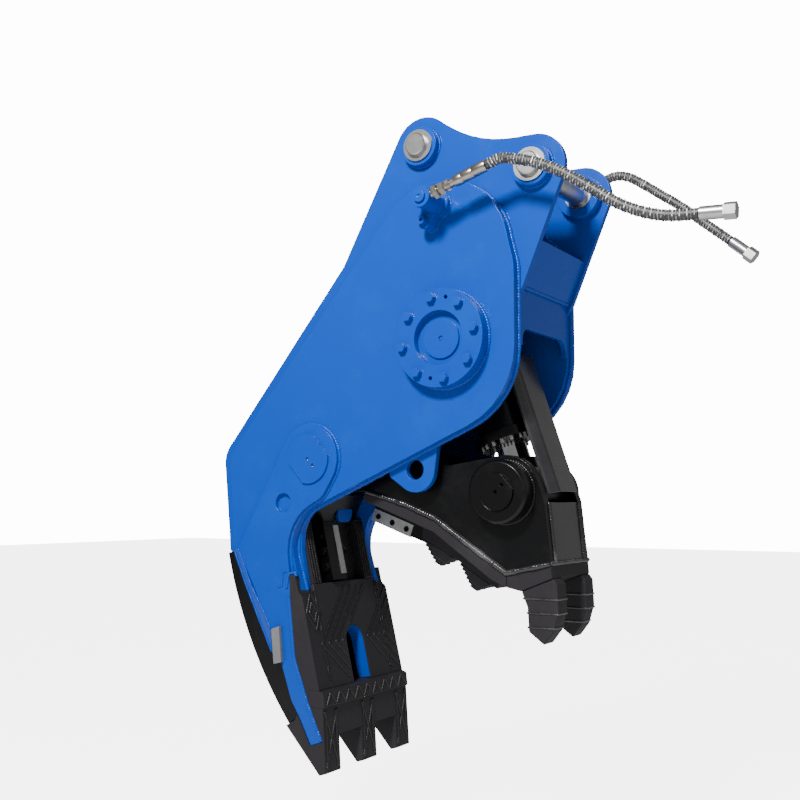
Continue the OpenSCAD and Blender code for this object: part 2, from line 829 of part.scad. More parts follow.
hub_guard_outline = concat(
    arc(pivot_at, guard_ring_r + cross_plate_t, guard_start, guard_end, corner_steps),
    [face(0, -liner_recess - liner_t), face(0, -liner_recess)],
    arc(pivot_at, guard_ring_r, guard_end + corner_steps, guard_start, corner_steps)
);

module hub_guard_plate() {
    color(dark)
        slab(hub_guard_outline, -inner_y, inner_y);
}

module throat_stop() {
    stop_x = stop_shares.x * reach;
    top_z = stop_shares.y * reach;
    color(paint)
        difference() {
            wall(
                rounded(
                    [[stop_y, top_z], [stop_y, top_z - stop_len], [stop_y + stop_w, top_z - stop_len],
                        [stop_y + stop_w, top_z]],
                    [0, stop_w / 3, stop_w / 3, 0]
                ),
                stop_x - stop_t, stop_x
            );
            slab(hub_guard_outline, -inner_y, inner_y);
            bar(pivot_at, guard_ring_r, -inner_y, inner_y);
        }
}

lug_at = lug_hole_shares * reach;
lug_foot = at(lug_shares);
lug_outline = concat(
    [lug_foot[0], lug_foot[1]],
    arc(lug_at, lug_r, tangent_angle(lug_at, lug_r, lug_foot[1], 1) + 360,
        tangent_angle(lug_at, lug_r, lug_foot[2], -1) + 360, arc_steps),
    [lug_foot[2]]
);

module lifting_lugs() {
    color(paint)
        both_sides()
            difference() {
                slab(lug_outline, inner_y, ear_y);
                slab(inner_outline, inner_y - overrun, ear_y + overrun);
                bar(lug_at, lug_hole_r, inner_y - overrun, ear_y + overrun);
            }
}

// Fixed jaw
module throat_liner() {
    rail_y = inner_y - rail_w;
    cavity_from = holder_w + blade_t;
    foot = upper_face_len - joint_gap;
    color(wear_black)
        difference() {
            union() {
                slab([face(0, -liner_recess - liner_t), face(0, -liner_recess), face(foot, -liner_recess),
                    face(foot, -liner_recess - liner_t)], -inner_y, inner_y);
                both_sides()
                    slab([face(0, -liner_recess), face(0, 0), face(foot, 0), face(foot, -liner_recess)], rail_y,
                        inner_y);
            }
            slab([face(holder_from, -liner_recess - liner_t - overrun), face(holder_from, overrun),
                face(holder_to, overrun), face(holder_to, -liner_recess - liner_t - overrun)],
                -cavity_from - cavity_w, 0);
        }
}

module fixed_blade_holder() {
    color(wear_black)
        difference() {
            slab([face(holder_from, -holder_back), face(holder_from, holder_proud), face(holder_to, holder_proud),
                face(holder_to, -holder_back)], -holder_w - blade_t, -blade_gap);
            slab([face(fixed_blade_from, -fixed_blade_back), face(fixed_blade_from, fixed_blade_proud + overrun),
                face(fixed_blade_from + fixed_blade_len, fixed_blade_proud + overrun),
                face(fixed_blade_from + fixed_blade_len, -fixed_blade_back)], -blade_t, overrun);
            for (place = fixed_bolt_places)
                bar(place, blade_bolt_r + screw_fit, -holder_w - blade_t - overrun, overrun);
        }
}

fixed_bolt_places = [for (i = [1, 3, 5])
    face(fixed_blade_from + fixed_blade_len * i / 6, (fixed_blade_proud - fixed_blade_back) / 2)];

module fixed_blade() {
    color(steel)
        difference() {
            slab([face(fixed_blade_from, -fixed_blade_back), face(fixed_blade_from, fixed_blade_proud),
                face(fixed_blade_from + fixed_blade_len, fixed_blade_proud),
                face(fixed_blade_from + fixed_blade_len, -fixed_blade_back)], -blade_t, 0);
            for (place = fixed_bolt_places)
                bar(place, blade_bolt_r + screw_fit, -blade_t - overrun, overrun);
        }
}

module fixed_blade_bolts() {
    back_y = -holder_w - blade_t;
    color(dark)
        for (place = fixed_bolt_places) {
            bar(place, blade_bolt_r, back_y, -blade_gap);
            hex_bar(place, blade_nut_r, back_y - blade_nut_h, back_y);
        }
}

module crushing_plate() {
    plate_end = face(face_len, 0);
    side_outline = [lower_front[0], face((lower_front[1].y - face_top.y) / face_dir.y, 0), plate_end,
        [lower_front[4].x, plate_end.y], lower_front[4], lower_front[3], lower_front[2], lower_front[1]];
    slot_top = face_len - slot_len + slot_w / 2;
    tongue = [doubler_front[3], tongue_share * reach, lower_front[0], lower_front[1]];
    color(wear_black)
        difference() {
            union() {
                slab([face(upper_face_len, -crush_plate_t), face(upper_face_len, 0), plate_end,
                    plate_end - [crush_plate_t / face_out.x, 0]], -inner_y, inner_y);
                both_sides() {
                    slab(side_outline, inner_y, crush_y);
                    slab(tongue, outer_y, crush_y);
                }
            }
            along(face(slot_top, -crush_plate_t - overrun), 0, face_angle)
                cylinder(h = crush_plate_t + 2 * overrun, r = slot_w / 2);
            slab([face(slot_top, -crush_plate_t - overrun), face(slot_top, overrun), face(face_len + overrun, overrun),
                face(face_len + overrun, -crush_plate_t - overrun)], -slot_w / 2, slot_w / 2);
        }
}

face_angle = atan2(face_out.y, face_out.x);

module tooth_crossbar() {
    color(wear_black)
        difference() {
            slab(at(crossbar_shares), -crush_y, crush_y);
            side_cut(crush_y + overrun);
        }
}

// The room that the side plates take from the castings between and beside them
module side_cut(high) {
    both_sides() {
        slab(inner_outline, inner_y, ear_y);
        slab(outer_outline, ear_y, outer_y);
        slab(doubler_outline, outer_y, high);
    }
}

module fixed_teeth() {
    tooth_y = crush_y - fixed_tooth_w / 2;
    color(wear_black)
        difference() {
            union() {
                slab(at(tooth_root_shares), -crush_y, crush_y);
                for (place = [-tooth_y, 0, tooth_y])
                    slab(at(tooth_shares), place - fixed_tooth_w / 2, place + fixed_tooth_w / 2);
            }
            side_cut(crush_y + overrun);
        }
}

module dorsal_wear_plate() {
    outer_arc = arc(dorsal_centre, dorsal_r, dorsal_from, dorsal_to, arc_steps);
    inner_arc = arc(dorsal_centre, dorsal_r - dorsal_t, dorsal_to, dorsal_from, arc_steps);
    color(dark)
        difference() {
            slab(concat(outer_arc, inner_arc), -outer_y, outer_y);
            side_cut(skin_y);
            slab(at(tooth_root_shares), -skin_y, skin_y);
        }
}

module dorsal_side_plates() {
    inner_arc = arc(dorsal_centre, dorsal_r - dorsal_t, dorsal_from, dorsal_to, arc_steps);
    color(dark)
        both_sides()
            difference() {
                slab(concat(inner_arc, [for (i = [1 : 4]) lower_back[i]]), inner_y, outer_y);
                slab(at(tooth_root_shares), inner_y - overrun, skin_y);
                side_cut(skin_y);
            }
}

module side_wear_bars() {
    color("gray")
        both_sides()
            slab(at(side_bar_shares), skin_y, skin_y + bar_t);
}

// Hydraulic ports on the side plates
port_at = port_shares * reach;
foot_at = port_at + foot_lobe_shares * reach;
module port_blocks() {
    color(paint)
        both_sides()
            difference() {
                union() {
                    bar(port_at, port_r, outer_y, outer_y + port_len);
                    bar(port_at, foot_r, outer_y, outer_y + foot_t);
                    bar(foot_at, foot_lobe_r, outer_y, outer_y + foot_lobe_t);
                    slab(strip(port_at, foot_at, -foot_lobe_r, 2 * foot_lobe_r), outer_y, outer_y + foot_lobe_t);
                }
                bar(foot_at, cap_bolt_r, outer_y, outer_y + foot_lobe_t + overrun);
            }
}

module port_clamp_screws() {
    lobe_y = outer_y + foot_lobe_t;
    color(paint)
        both_sides()
            difference() {
                union() {
                    bar(foot_at, cap_bolt_r, outer_y, lobe_y);
                    bar(foot_at, clamp_head_r, lobe_y, lobe_y + clamp_head_h);
                }
                hex_bar(foot_at, socket_r, lobe_y + clamp_head_h / 2, lobe_y + clamp_head_h + overrun);
            }
}

// Plugs in the port blocks' ends and grease plugs in the trunnion caps
module screw_plugs() {
    cap_boss_y = outer_y + cap_flange_t - cap_recess_depth + cap_boss_h;
    color(paint)
        both_sides() {
            difference() {
                bar(port_at, plug_hex_r, outer_y + port_len, outer_y + port_len + plug_head_h);
                hex_bar(port_at, socket_r, outer_y + port_len + plug_head_h / 2,
                    outer_y + port_len + plug_head_h + overrun);
            }
            bar(trunnion_at, cap_hole_r, cap_boss_y - plug_head_h * 2, cap_boss_y - plug_head_h / 2);
        }
}

function flat(p) = [p.x, p.z];
function port_line(route) = flat(route[0]) - port_at;

// A port's adapter, swivel nut and the hose's ferrule, on the line from the block to the hose
module hose_fitting(route) {
    line = port_line(route);
    seat = port_r - (port_r - sqrt(port_r * port_r - adapter_r * adapter_r));
    neck_from = seat + adapter_len + nut_len;
    along(port_at, route[0].y, atan2(line.y, line.x))
        difference() {
            union() {
                translate([0, 0, seat - overrun])
                    cylinder(h = adapter_len + overrun, r = adapter_r);
                translate([0, 0, seat + adapter_len / 2])
                    cylinder(h = adapter_len / 2 + nut_len, r = nut_hex_r, $fn = 6);
                translate([0, 0, neck_from])
                    cylinder(h = ferrule_neck_len, r = ferrule_neck_r);
                translate([0, 0, neck_from + ferrule_neck_len])
                    cylinder(h = norm(line) - neck_from - ferrule_neck_len, r = ferrule_r);
            }
            rotate([90, 0, 0])
                cylinder(h = port_len, r = port_r, center = true);
        }
}

module hose_fittings() {
    color(steel) {
        hose_fitting(near_route);
        hose_fitting(far_route);
    }
}

// The ferrule and nut at a hose's free end
module hose_end(route) {
    last = route[len(route) - 1];
    line = flat(last) - flat(route[len(route) - 2]);
    along(flat(last), last.y, atan2(line.y, line.x)) {
        cylinder(h = end_ferrule_len, r = ferrule_r);
        translate([0, 0, end_ferrule_len])
            cylinder(h = end_nut_len, r = nut_hex_r, $fn = 6);
    }
}

module hose_end_fittings() {
    color(steel) {
        hose_end(near_route);
        hose_end(far_route);
    }
}

// A smooth line through a route's points, with straight first and last stretches
function route_slope(route, i) =
    let (n = len(route) - 1)
    i <= 1 ? unit(route[1] - route[0]) * norm(route[2] - route[1])
        : i >= n - 1 ? unit(route[n] - route[n - 1]) * norm(route[n - 1] - route[n - 2])
        : (route[i + 1] - route[i - 1]) / 2;
function route_point(route, i, t) =
    let (n = len(route) - 1, a = route[i], b = route[i + 1])
    i == 0 || i == n - 1 ? a + (b - a) * t
        : (2 * t * t * t - 3 * t * t + 1) * a + (t * t * t - 2 * t * t + t) * route_slope(route, i)
            + (3 * t * t - 2 * t * t * t) * b + (t * t * t - t * t) * route_slope(route, i + 1);
// Two stations for each rib, evenly along each stretch
function stations(route) =
    let (n = len(route) - 1)
    concat([for (i = [0 : n - 1])
        let (steps = max(2, 2 * round(norm(route[i + 1] - route[i]) / rib_pitch)))
        each [for (k = [0 : steps - 1]) route_point(route, i, k / steps)]], [route[n]]);
hose_sides = 8;
function ring(points, i, radius) =
    let (
        n = len(points) - 1,
        dir = unit(points[min(i + 1, n)] - points[max(i - 1, 0)]),
        across = unit(cross(dir, [0, 1, 0])),
        other = cross(dir, across)
    )
    [for (k = [0 : hose_sides - 1])
        points[i] + radius * (cos(360 * k / hose_sides) * across + sin(360 * k / hose_sides) * other)];
function rib_radius(i, n) = i % 2 == 0 || i >= n - 1 ? hose_r : hose_r - rib_depth;

// A hose with its bore, under a guard that stands out in ribs; the bore has a ring at every fourth station
module ribbed_hose(route) {
    points = stations(route);
    n = len(points) - 1;
    bore_at = concat([for (i = [0 : 4 : n - 2]) i], [n]);
    m = len(bore_at) - 1;
    outside = [for (i = [0 : n]) each ring(points, i, rib_radius(i, n))];
    inside = [for (i = bore_at) each ring(points, i, hose_bore_r)];
    base = len(outside);
    s = hose_sides;
    skin = [for (i = [0 : n - 1]) for (k = [0 : s - 1])
        let (a = i * s + k, b = i * s + (k + 1) % s) each [[a, b, b + s], [a, b + s, a + s]]];
    bore = [for (i = [0 : m - 1]) for (k = [0 : s - 1])
        let (a = base + i * s + k, b = base + i * s + (k + 1) % s) each [[b, a, a + s], [b, a + s, b + s]]];
    start_face = [for (k = [0 : s - 1])
        let (a = k, b = (k + 1) % s) each [[b, a, base + a], [b, base + a, base + b]]];
    end_face = [for (k = [0 : s - 1])
        let (a = n * s + k, b = n * s + (k + 1) % s, c = base + m * s + k, d = base + m * s + (k + 1) % s)
        each [[a, b, d], [a, d, c]]];
    polyhedron(points = concat(outside, inside), faces = concat(skin, bore, start_face, end_face), convexity = 6);
}

module hose_near() {
    color(dark)
        ribbed_hose(near_route);
}

module hose_far() {
    color(dark)
        ribbed_hose(far_route);
}

// Moving jaw
module jaw_cheek() {
    jaw_front = at(jaw_front_shares);
    jaw_top = jaw_top_shares * reach;
    hub_from = tangent_angle(pivot_at, cheek_hub_r, jaw_bead[0], -1) + 360;
    hub_to = tangent_angle(pivot_at, cheek_hub_r, jaw_top, 1);
    eye_from = tangent_angle(rod_pin_at, cheek_eye_r, jaw_top, -1);
    eye_to = tangent_angle(rod_pin_at, cheek_eye_r, jaw_front[1], 1);
    outline = concat(
        arc(pivot_at, cheek_hub_r, hub_from, hub_to, arc_steps),
        [jaw_top],
        arc(rod_pin_at, cheek_eye_r, eye_from, eye_to, arc_steps),
        [jaw_front[1]],
        backward(jaw_bead)
    );
    difference() {
        slab(outline, cheek_in_y, cheek_y);
        bar(pivot_at, hub_r, cheek_in_y - overrun, cheek_y + overrun);
        bar(rod_pin_at, rod_pin_r, cheek_in_y - overrun, cheek_y + overrun);
    }
}

module jaw_cheek_near() {
    color(dark)
        mirrored()
            jaw_cheek();
}

module jaw_cheek_far() {
    color(dark)
        jaw_cheek();
}

module jaw_hub() {
    hub_y = inner_y - hub_side_gap;
    color(dark)
        difference() {
            bar(pivot_at, hub_r, -hub_y, hub_y);
            bar(pivot_at, pivot_pin_r + running_fit + hub_bush_wall, -hub_y - overrun, hub_y + overrun);
        }
}

module jaw_hub_bushes() {
    hub_y = inner_y - hub_side_gap;
    color("peru")
        both_sides()
            difference() {
                bar(pivot_at, pivot_pin_r + running_fit + hub_bush_wall, hub_y / 2, hub_y);
                bar(pivot_at, pivot_pin_r + running_fit, hub_y / 2 - overrun, hub_y + overrun);
            }
}

module jaw_wear_plate() {
    color(wear_black)
        union() {
            slab(wear_outline, -cheek_y, cheek_y);
            slab(at(pad_shares), -tooth_pad_w / 2, tooth_pad_w / 2);
        }
}

module nose_block() {
    color(wear_black)
        slab([jaw_bead[4], jaw_bead[5], jaw_nose[1], jaw_nose[0], jaw_wear[3]], -cheek_y, cheek_y);
}

module jaw_front_plate() {
    top = jaw_front_shares[1] * reach;
    color(dark)
        slab(strip(top, jaw_bead[5], -front_plate_t, front_plate_t), -cheek_in_y, cheek_in_y);
}

module front_teeth() {
    color(wear_black)
        both_sides()
            slab(at(front_tooth_shares), front_tooth_y - front_tooth_t / 2, front_tooth_y + front_tooth_t / 2);
}

// Square crusher teeth that step in to their tips
module crusher_teeth() {
    step_h = crusher_h / crusher_ridges;
    shrink = (crusher_base_w - crusher_tip_w) / (crusher_ridges - 1);
    color(wear_black)
        for (i = [1, 2]) {
            root = (pad_shares[i] + pad_shares[i + 1]) / 2 * reach;
            run = pad_shares[i + 1] - pad_shares[i];
            along(root, 0, atan2(run.y, run.x) - 90)
                for (k = [0 : crusher_ridges - 1])
                    translate([0, 0, k * step_h])
                        rotate([0, 0, 45])
                            cylinder(h = step_h, r = (crusher_base_w - k * shrink) / sqrt(2), $fn = 4);
        }
}

// The moving shear blade on its seat
blade_at = blade_corner_shares * reach;
blade_dir = [cos(blade_slope), sin(blade_slope)];
blade_down = [blade_dir.y, -blade_dir.x];
blade_points = [blade_at, blade_at + blade_dir * blade_len, blade_at + blade_dir * blade_len + blade_down * blade_h,
    blade_at + blade_down * blade_h];
blade_screw_places = [for (i = [0 : 2])
    blade_at + blade_down * blade_h / 2 + blade_dir * (blade_screw_edge + i * (blade_len / 2 - blade_screw_edge))];

module jaw_blade() {
    color(steel)
        difference() {
            slab(blade_points, blade_gap, blade_gap + blade_t);
            for (place = blade_screw_places)
                bar(place, blade_screw_r + screw_fit, -overrun, blade_gap + blade_t + overrun);
        }
}

module jaw_blade_seat() {
    back_y = blade_gap + blade_t;
    seat = concat(at(seat_shares), [jaw_wear[0] + (jaw_wear[1] - jaw_wear[0]) * seat_end_share]);
    color(dark)
        difference() {
            union() {
                slab(seat, back_y, back_y + seat_t);
                difference() {
                    slab(seat, blade_gap, back_y);
                    slab([blade_at - blade_dir * blade_len, blade_at + blade_dir * blade_len,
                        blade_at + blade_dir * blade_len + blade_down * blade_len,
                        blade_at - blade_dir * blade_len + blade_down * blade_len], -overrun, back_y + overrun);
                }
            }
            for (place = blade_screw_places)
                bar(place, blade_screw_r + screw_fit, blade_gap - overrun, back_y + seat_t + overrun);
            slab(at(pad_shares), -tooth_pad_w / 2, tooth_pad_w / 2);
            slab(wear_outline, -cheek_y, cheek_y);
        }
}

module jaw_blade_screws() {
    color(dark)
        for (place = blade_screw_places)
            difference() {
                bar(place, blade_screw_r, blade_gap + screw_recess, blade_gap + blade_t + seat_t);
                hex_bar(place, blade_screw_r / 2, blade_gap, blade_gap + 2 * screw_recess);
            }
}

// The pin through the rod's eye, keyed by flats on its ends
module rod_pin() {
    end_y = cheek_y + rod_boss_h + pin_cover_t;
    flat = rod_pin_r * pin_cover_flat_share;
    color(dark)
        difference() {
            bar(rod_pin_at, rod_pin_r, -end_y, end_y);
            both_sides()
                for (side = [-1, 1])
                    translate([rod_pin_at.x, 0, rod_pin_at.y])
                        rotate([0, pin_cover_turn, 0])
                            translate([side * (flat + rod_pin_r / 2), end_y - pin_cover_t / 2 + overrun / 2, 0])
                                cube([rod_pin_r, pin_cover_t + overrun, rod_pin_r * 2], center = true);
            both_sides()
                for (side = [0, 1])
                    bar(rod_pin_at + side * pin_cover_hole_y * [1, 1], pin_cover_hole_r, end_y - pin_cover_t * 2,
                        end_y + overrun);
        }
}

module rod_pin_bosses() {
    color(dark)
        both_sides()
            translate([rod_pin_at.x, cheek_y, rod_pin_at.y])
                rotate([-90, 0, 0])
                    rotate_extrude()
                        polygon([[rod_pin_r, 0], [rod_boss_r, 0], [rod_boss_r, rod_boss_h - boss_chamfer],
                            [rod_boss_r - boss_chamfer, rod_boss_h], [rod_pin_r, rod_boss_h]]);
}

// The cylinder is drawn along Z with its trunnion at zero, then tilted onto the line to the rod pin
module on_cylinder() {
    translate([trunnion_at.x, 0, trunnion_at.y])
        rotate([0, cylinder_tilt, 0])
            children();
}

module barrel() {
    color(dark)
        on_cylinder()
            difference() {
                union() {
                    translate([0, 0, barrel_low])
                        cylinder(h = barrel_top - barrel_low, r = barrel_r);
                    translate([0, 0, barrel_top])
                        cylinder(h = barrel_end_t, r = barrel_r + barrel_end_proud);
                    translate([0, 0, -trunnion_ring_h / 2])
                        cylinder(h = trunnion_ring_h, r = trunnion_ring_r);
                    bar([0, 0], trunnion_boss_r, -trunnion_boss_y, trunnion_boss_y);
                    bar([0, 0], journal_r, -bearing_end_y, bearing_end_y);
                }
                translate([0, 0, barrel_low - overrun])
                    cylinder(h = barrel_top - barrel_low + overrun, r = bore_r);
            }
}

bearing_end_y = outer_y + cap_flange_t - cap_recess_depth - cap_web - journal_end_gap;

module gland() {
    color(dark)
        on_cylinder()
            difference() {
                union() {
                    translate([0, 0, gland_low])
                        cylinder(h = gland_t, r = gland_r);
                    translate([0, 0, barrel_low])
                        cylinder(h = gland_spigot_h, r = bore_r);
                }
                translate([0, 0, gland_low - overrun])
                    cylinder(h = gland_t + gland_spigot_h + 2 * overrun, r = piston_rod_r + piston_gap);
            }
}

module gland_screws() {
    circle_r = (gland_r + bore_r) / 2;
    color(steel)
        on_cylinder()
            for (i = [0 : gland_screws_count - 1])
                rotate([0, 0, 360 * i / gland_screws_count])
                    translate([circle_r, 0, gland_low - screw_head_h])
                        difference() {
                            cylinder(h = screw_head_h, r = screw_head_r);
                            translate([0, 0, -overrun])
                                cylinder(h = overrun + screw_head_h / 2, r = screw_head_r / 2, $fn = 6);
                        }
}

piston_top = barrel_top - rod_top_gap;

module piston_rod() {
    rod_low = eye_neck_len - rod_to_trunnion;
    color(steel)
        on_cylinder()
            union() {
                translate([0, 0, rod_low])
                    cylinder(h = piston_top - piston_h - rod_low, r = piston_rod_r);
                translate([0, 0, piston_top - piston_h])
                    cylinder(h = piston_h, r = rod_spigot_r);
            }
}

module piston() {
    color("gray")
        on_cylinder()
            difference() {
                translate([0, 0, piston_top - piston_h])
                    cylinder(h = piston_h, r = bore_r - piston_gap);
                translate([0, 0, piston_top - piston_h - overrun])
                    cylinder(h = piston_h + 2 * overrun, r = rod_spigot_r);
            }
}

module rod_eye() {
    eye_y = cheek_in_y - eye_side_gap;
    color(dark)
        on_cylinder()
            translate([0, 0, -rod_to_trunnion])
                difference() {
                    union() {
                        bar([0, 0], eye_r, -eye_y, eye_y);
                        cylinder(h = eye_neck_len, r = eye_neck_r);
                    }
                    bar([0, 0], rod_pin_r + eye_play, -cheek_y, cheek_y);
                }
}

// A folded channel on the rod's eye that covers the rod from the front
module rod_guard() {
    half = guard_w / 2;
    full = guard_full_w / 2;
    color("slategray")
        on_cylinder()
            translate([0, 0, -rod_to_trunnion]) {
                translate([0, 0, -guard_below_pin])
                    linear_extrude(guard_above_pin + guard_below_pin)
                        polygon([
                            [guard_front - guard_flange_back, -full], [guard_front, -half], [guard_front, half],
                            [guard_front - guard_flange_back, full], [guard_front - guard_flange_back - guard_t, full],
                            [guard_front - guard_t, half - guard_t / 2], [guard_front - guard_t, guard_t / 2 - half],
                            [guard_front - guard_flange_back - guard_t, -full]
                        ]);
                difference() {
                    translate([0, -guard_bracket_w / 2, -guard_bracket_h / 2])
                        cube([guard_front - guard_t, guard_bracket_w, guard_bracket_h]);
                    bar([0, 0], eye_r, -cheek_y, cheek_y);
                }
            }
}

side_plate_near();
side_plate_far();
outer_plate_near();
outer_plate_far();
pivot_doublers();
ear_bosses();
ear_bushes();
trunnion_cap_near();
trunnion_cap_far();
trunnion_cap_bolts();
trunnion_bushes();
screw_plugs();
jaw_pivot_pin();
pivot_pin_covers();
lifting_lugs();
back_plates();
front_cover();
ear_cross_plates();
ear_gussets();
hub_guard_plate();
throat_stop();
throat_liner();
fixed_blade_holder();
fixed_blade();
fixed_blade_bolts();
crushing_plate();
tooth_crossbar();
fixed_teeth();
dorsal_wear_plate();
dorsal_side_plates();
side_wear_bars();
port_blocks();
port_clamp_screws();
hose_fittings();
hose_near();
hose_far();
hose_end_fittings();
jaw_cheek_near();
jaw_cheek_far();
jaw_hub();
jaw_hub_bushes();
jaw_wear_plate();
jaw_front_plate();
crusher_teeth();
nose_block();
front_teeth();
jaw_blade();
jaw_blade_seat();
jaw_blade_screws();
rod_pin();
rod_pin_bosses();
barrel();
gland();
gland_screws();
piston_rod();
piston();
rod_eye();
rod_guard();
stick_pin();
link_pin();
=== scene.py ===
import bpy
import json
import math
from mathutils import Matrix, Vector, noise


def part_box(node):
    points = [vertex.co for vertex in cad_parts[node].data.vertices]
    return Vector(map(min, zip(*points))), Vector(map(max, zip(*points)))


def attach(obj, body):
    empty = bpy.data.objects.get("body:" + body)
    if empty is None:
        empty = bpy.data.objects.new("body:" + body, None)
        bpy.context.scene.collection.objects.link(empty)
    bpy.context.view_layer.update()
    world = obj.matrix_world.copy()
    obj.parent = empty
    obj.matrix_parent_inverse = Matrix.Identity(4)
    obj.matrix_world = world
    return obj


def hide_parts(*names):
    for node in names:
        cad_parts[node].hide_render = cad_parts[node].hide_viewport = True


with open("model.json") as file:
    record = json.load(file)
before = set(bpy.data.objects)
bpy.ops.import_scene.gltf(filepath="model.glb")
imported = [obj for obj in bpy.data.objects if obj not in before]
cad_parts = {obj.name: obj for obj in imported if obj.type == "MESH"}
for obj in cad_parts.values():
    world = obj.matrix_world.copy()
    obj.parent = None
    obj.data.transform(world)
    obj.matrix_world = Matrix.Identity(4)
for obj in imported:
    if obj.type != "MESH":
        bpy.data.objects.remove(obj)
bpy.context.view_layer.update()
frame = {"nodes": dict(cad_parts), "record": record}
bpy.ops.object.select_all(action="DESELECT")

# The photographer's place
# Low down, in front of the tool and on its near side, looking slightly up at it. The near side
# plate shows almost flat, and the jaws and the gap between the ears are seen at a slant.
viewpoint = (1.4212, -3.3571, -1.1351)
line_of_sight = Vector((-0.52655, 0.84430, 0.09950))
film_width = 36.0
focal_length = 46.59
bpy.ops.object.camera_add(location=viewpoint)
camera = bpy.context.object
camera.name = "camera"
camera.data.sensor_width = film_width
camera.data.lens = focal_length
camera.rotation_euler = line_of_sight.to_track_quat("-Z", "Y").to_euler()
bpy.context.scene.camera = camera

# Two hoses that bring oil to the ports
# Black rubber hose in a guard of spiral steel band, crimped into a ferrule at each end. They leave
# the port blocks on the side plates and hang in one long curve. Their routes are in millimetres.
mm_per_metre = 1000
hose_routes = {
    "hose_near": [
        (-100, -375, -18), (-62, -375, -6.4), (0, -378, -17), (65, -380, -38), (140, -380, -74),
        (212, -380, -120), (284, -380, -172), (352, -380, -221), (420, -380, -256), (486, -380, -278),
        (550, -380, -287), (600, -380, -290)],
    "hose_far": [
        (-122, 375, 36), (-87, 375, 56.2), (-30, 378, 88), (25, 380, 110), (75, 380, 120),
        (125, 380, 106), (165, 380, 80), (208, 380, 48), (290, 380, -14), (346, 380, -60),
        (400, 380, -108), (460, 380, -160), (500, 380, -195)],
}
hose_radius = 0.0200
hose_core_radius = 0.0170
hose_step = 0.002
core_sides = 20
core_every, path_every = 4, 6
guard_pitch = 0.011
guard_band = 0.0045
guard_corners = 6
guard_flat_share = 0.6
guard_shoulder = 0.0008
guard_root = 0.0005
guard_run_out = 0.01
guard_least_rise = 0.05
hose_smooth_degrees = 40


def hose_line(route, step):
    """Points along a route: straight at both ends, and a smooth cubic curve between them."""
    points = [Vector(p) / mm_per_metre for p in route]
    last = len(points) - 1

    def slope(i):
        if i <= 1:
            return (points[1] - points[0]).normalized() * (points[2] - points[1]).length
        if i >= last - 1:
            ending = points[last - 1] - points[last - 2]
            return (points[last] - points[last - 1]).normalized() * ending.length
        return (points[i + 1] - points[i - 1]) / 2

    line = []
    for i in range(last):
        a, b = points[i], points[i + 1]
        count = max(2, round((b - a).length / step))
        for k in range(count):
            t = k / count
            if i in (0, last - 1):
                line.append(a.lerp(b, t))
            else:
                line.append((2 * t ** 3 - 3 * t ** 2 + 1) * a + (t ** 3 - 2 * t ** 2 + t) * slope(i)
                            + (3 * t ** 2 - 2 * t ** 3) * b + (t ** 3 - t ** 2) * slope(i + 1))
    return line + [points[last]]


def line_frames(line):
    """Each point of a line with two directions across it and its distance from the start."""
    frames, run = [], 0.0
    for i, p in enumerate(line):
        ahead = (line[min(i + 1, len(line) - 1)] - line[max(i - 1, 0)]).normalized()
        side = ahead.cross(Vector((0, 1, 0))).normalized()
        if i:
            run += (p - line[i - 1]).length
        frames.append((p, side, ahead.cross(side), run))
    return frames


def new_mesh_object(name, points, faces):
    mesh = bpy.data.meshes.new(name)
    mesh.from_pydata([tuple(p) for p in points], [], faces)
    piece = bpy.data.objects.new(name, mesh)
    bpy.context.scene.collection.objects.link(piece)
    return piece


def tube_faces(rings, sides, start=0):
    """The quads between rings of points that lie one after another from start."""
    faces = []
    for i in range(rings - 1):
        for k in range(sides):
            a, b = start + i * sides + k, start + i * sides + (k + 1) % sides
            faces.append((a, b, b + sides, a + sides))
    return faces


def sweep(section_at, frames, sides):
    points = []
    for p, side, other, run in frames:
        for a, r, along in section_at(run):
            points.append(p + side * math.cos(a) * r + other * math.sin(a) * r + side.cross(other) * along)
    faces = tube_faces(len(frames), sides)
    faces.append(tuple(reversed(range(sides))))
    faces.append(tuple(range(len(points) - sides, len(points))))
    return points, faces


def make_hose(name, route):
    frames = line_frames(hose_line(route, hose_step))
    total = frames[-1][3]
    half = guard_band / 2

    def core(run):
        return [(math.tau * k / core_sides, hose_core_radius, 0.0) for k in range(core_sides)]

    def band(run):
        turn = math.tau * run / guard_pitch
        rise = max(min(1.0, run / guard_run_out, (total - run) / guard_run_out), guard_least_rise)
        outer = hose_core_radius + (hose_radius - hose_core_radius) * rise
        root, shoulder = hose_core_radius - guard_root, outer - guard_shoulder
        flat = half * guard_flat_share
        return [(turn, root, -half), (turn, shoulder, -half), (turn, outer, -flat),
                (turn, outer, flat), (turn, shoulder, half), (turn, root, half)]

    core_points, core_faces = sweep(core, frames[::core_every], core_sides)
    inner = [f for f in frames if half < f[3] < total - half]
    band_points, band_faces = sweep(band, inner, guard_corners)
    start = len(core_points)
    hose = new_mesh_object(name, core_points + band_points,
                           core_faces + [tuple(i + start for i in f) for f in band_faces])
    for face in hose.data.polygons:
        face.material_index = 1 if face.index >= len(core_faces) else 0
    return hose, [tuple(f[0]) for f in frames[::path_every]] + [tuple(frames[-1][0])], total


def select_only(piece):
    bpy.ops.object.select_all(action="DESELECT")
    piece.select_set(True)
    bpy.context.view_layer.objects.active = piece


def shade_by_angle(piece, degrees):
    select_only(piece)
    bpy.ops.object.shade_smooth_by_angle(angle=math.radians(degrees))
    piece.select_set(False)


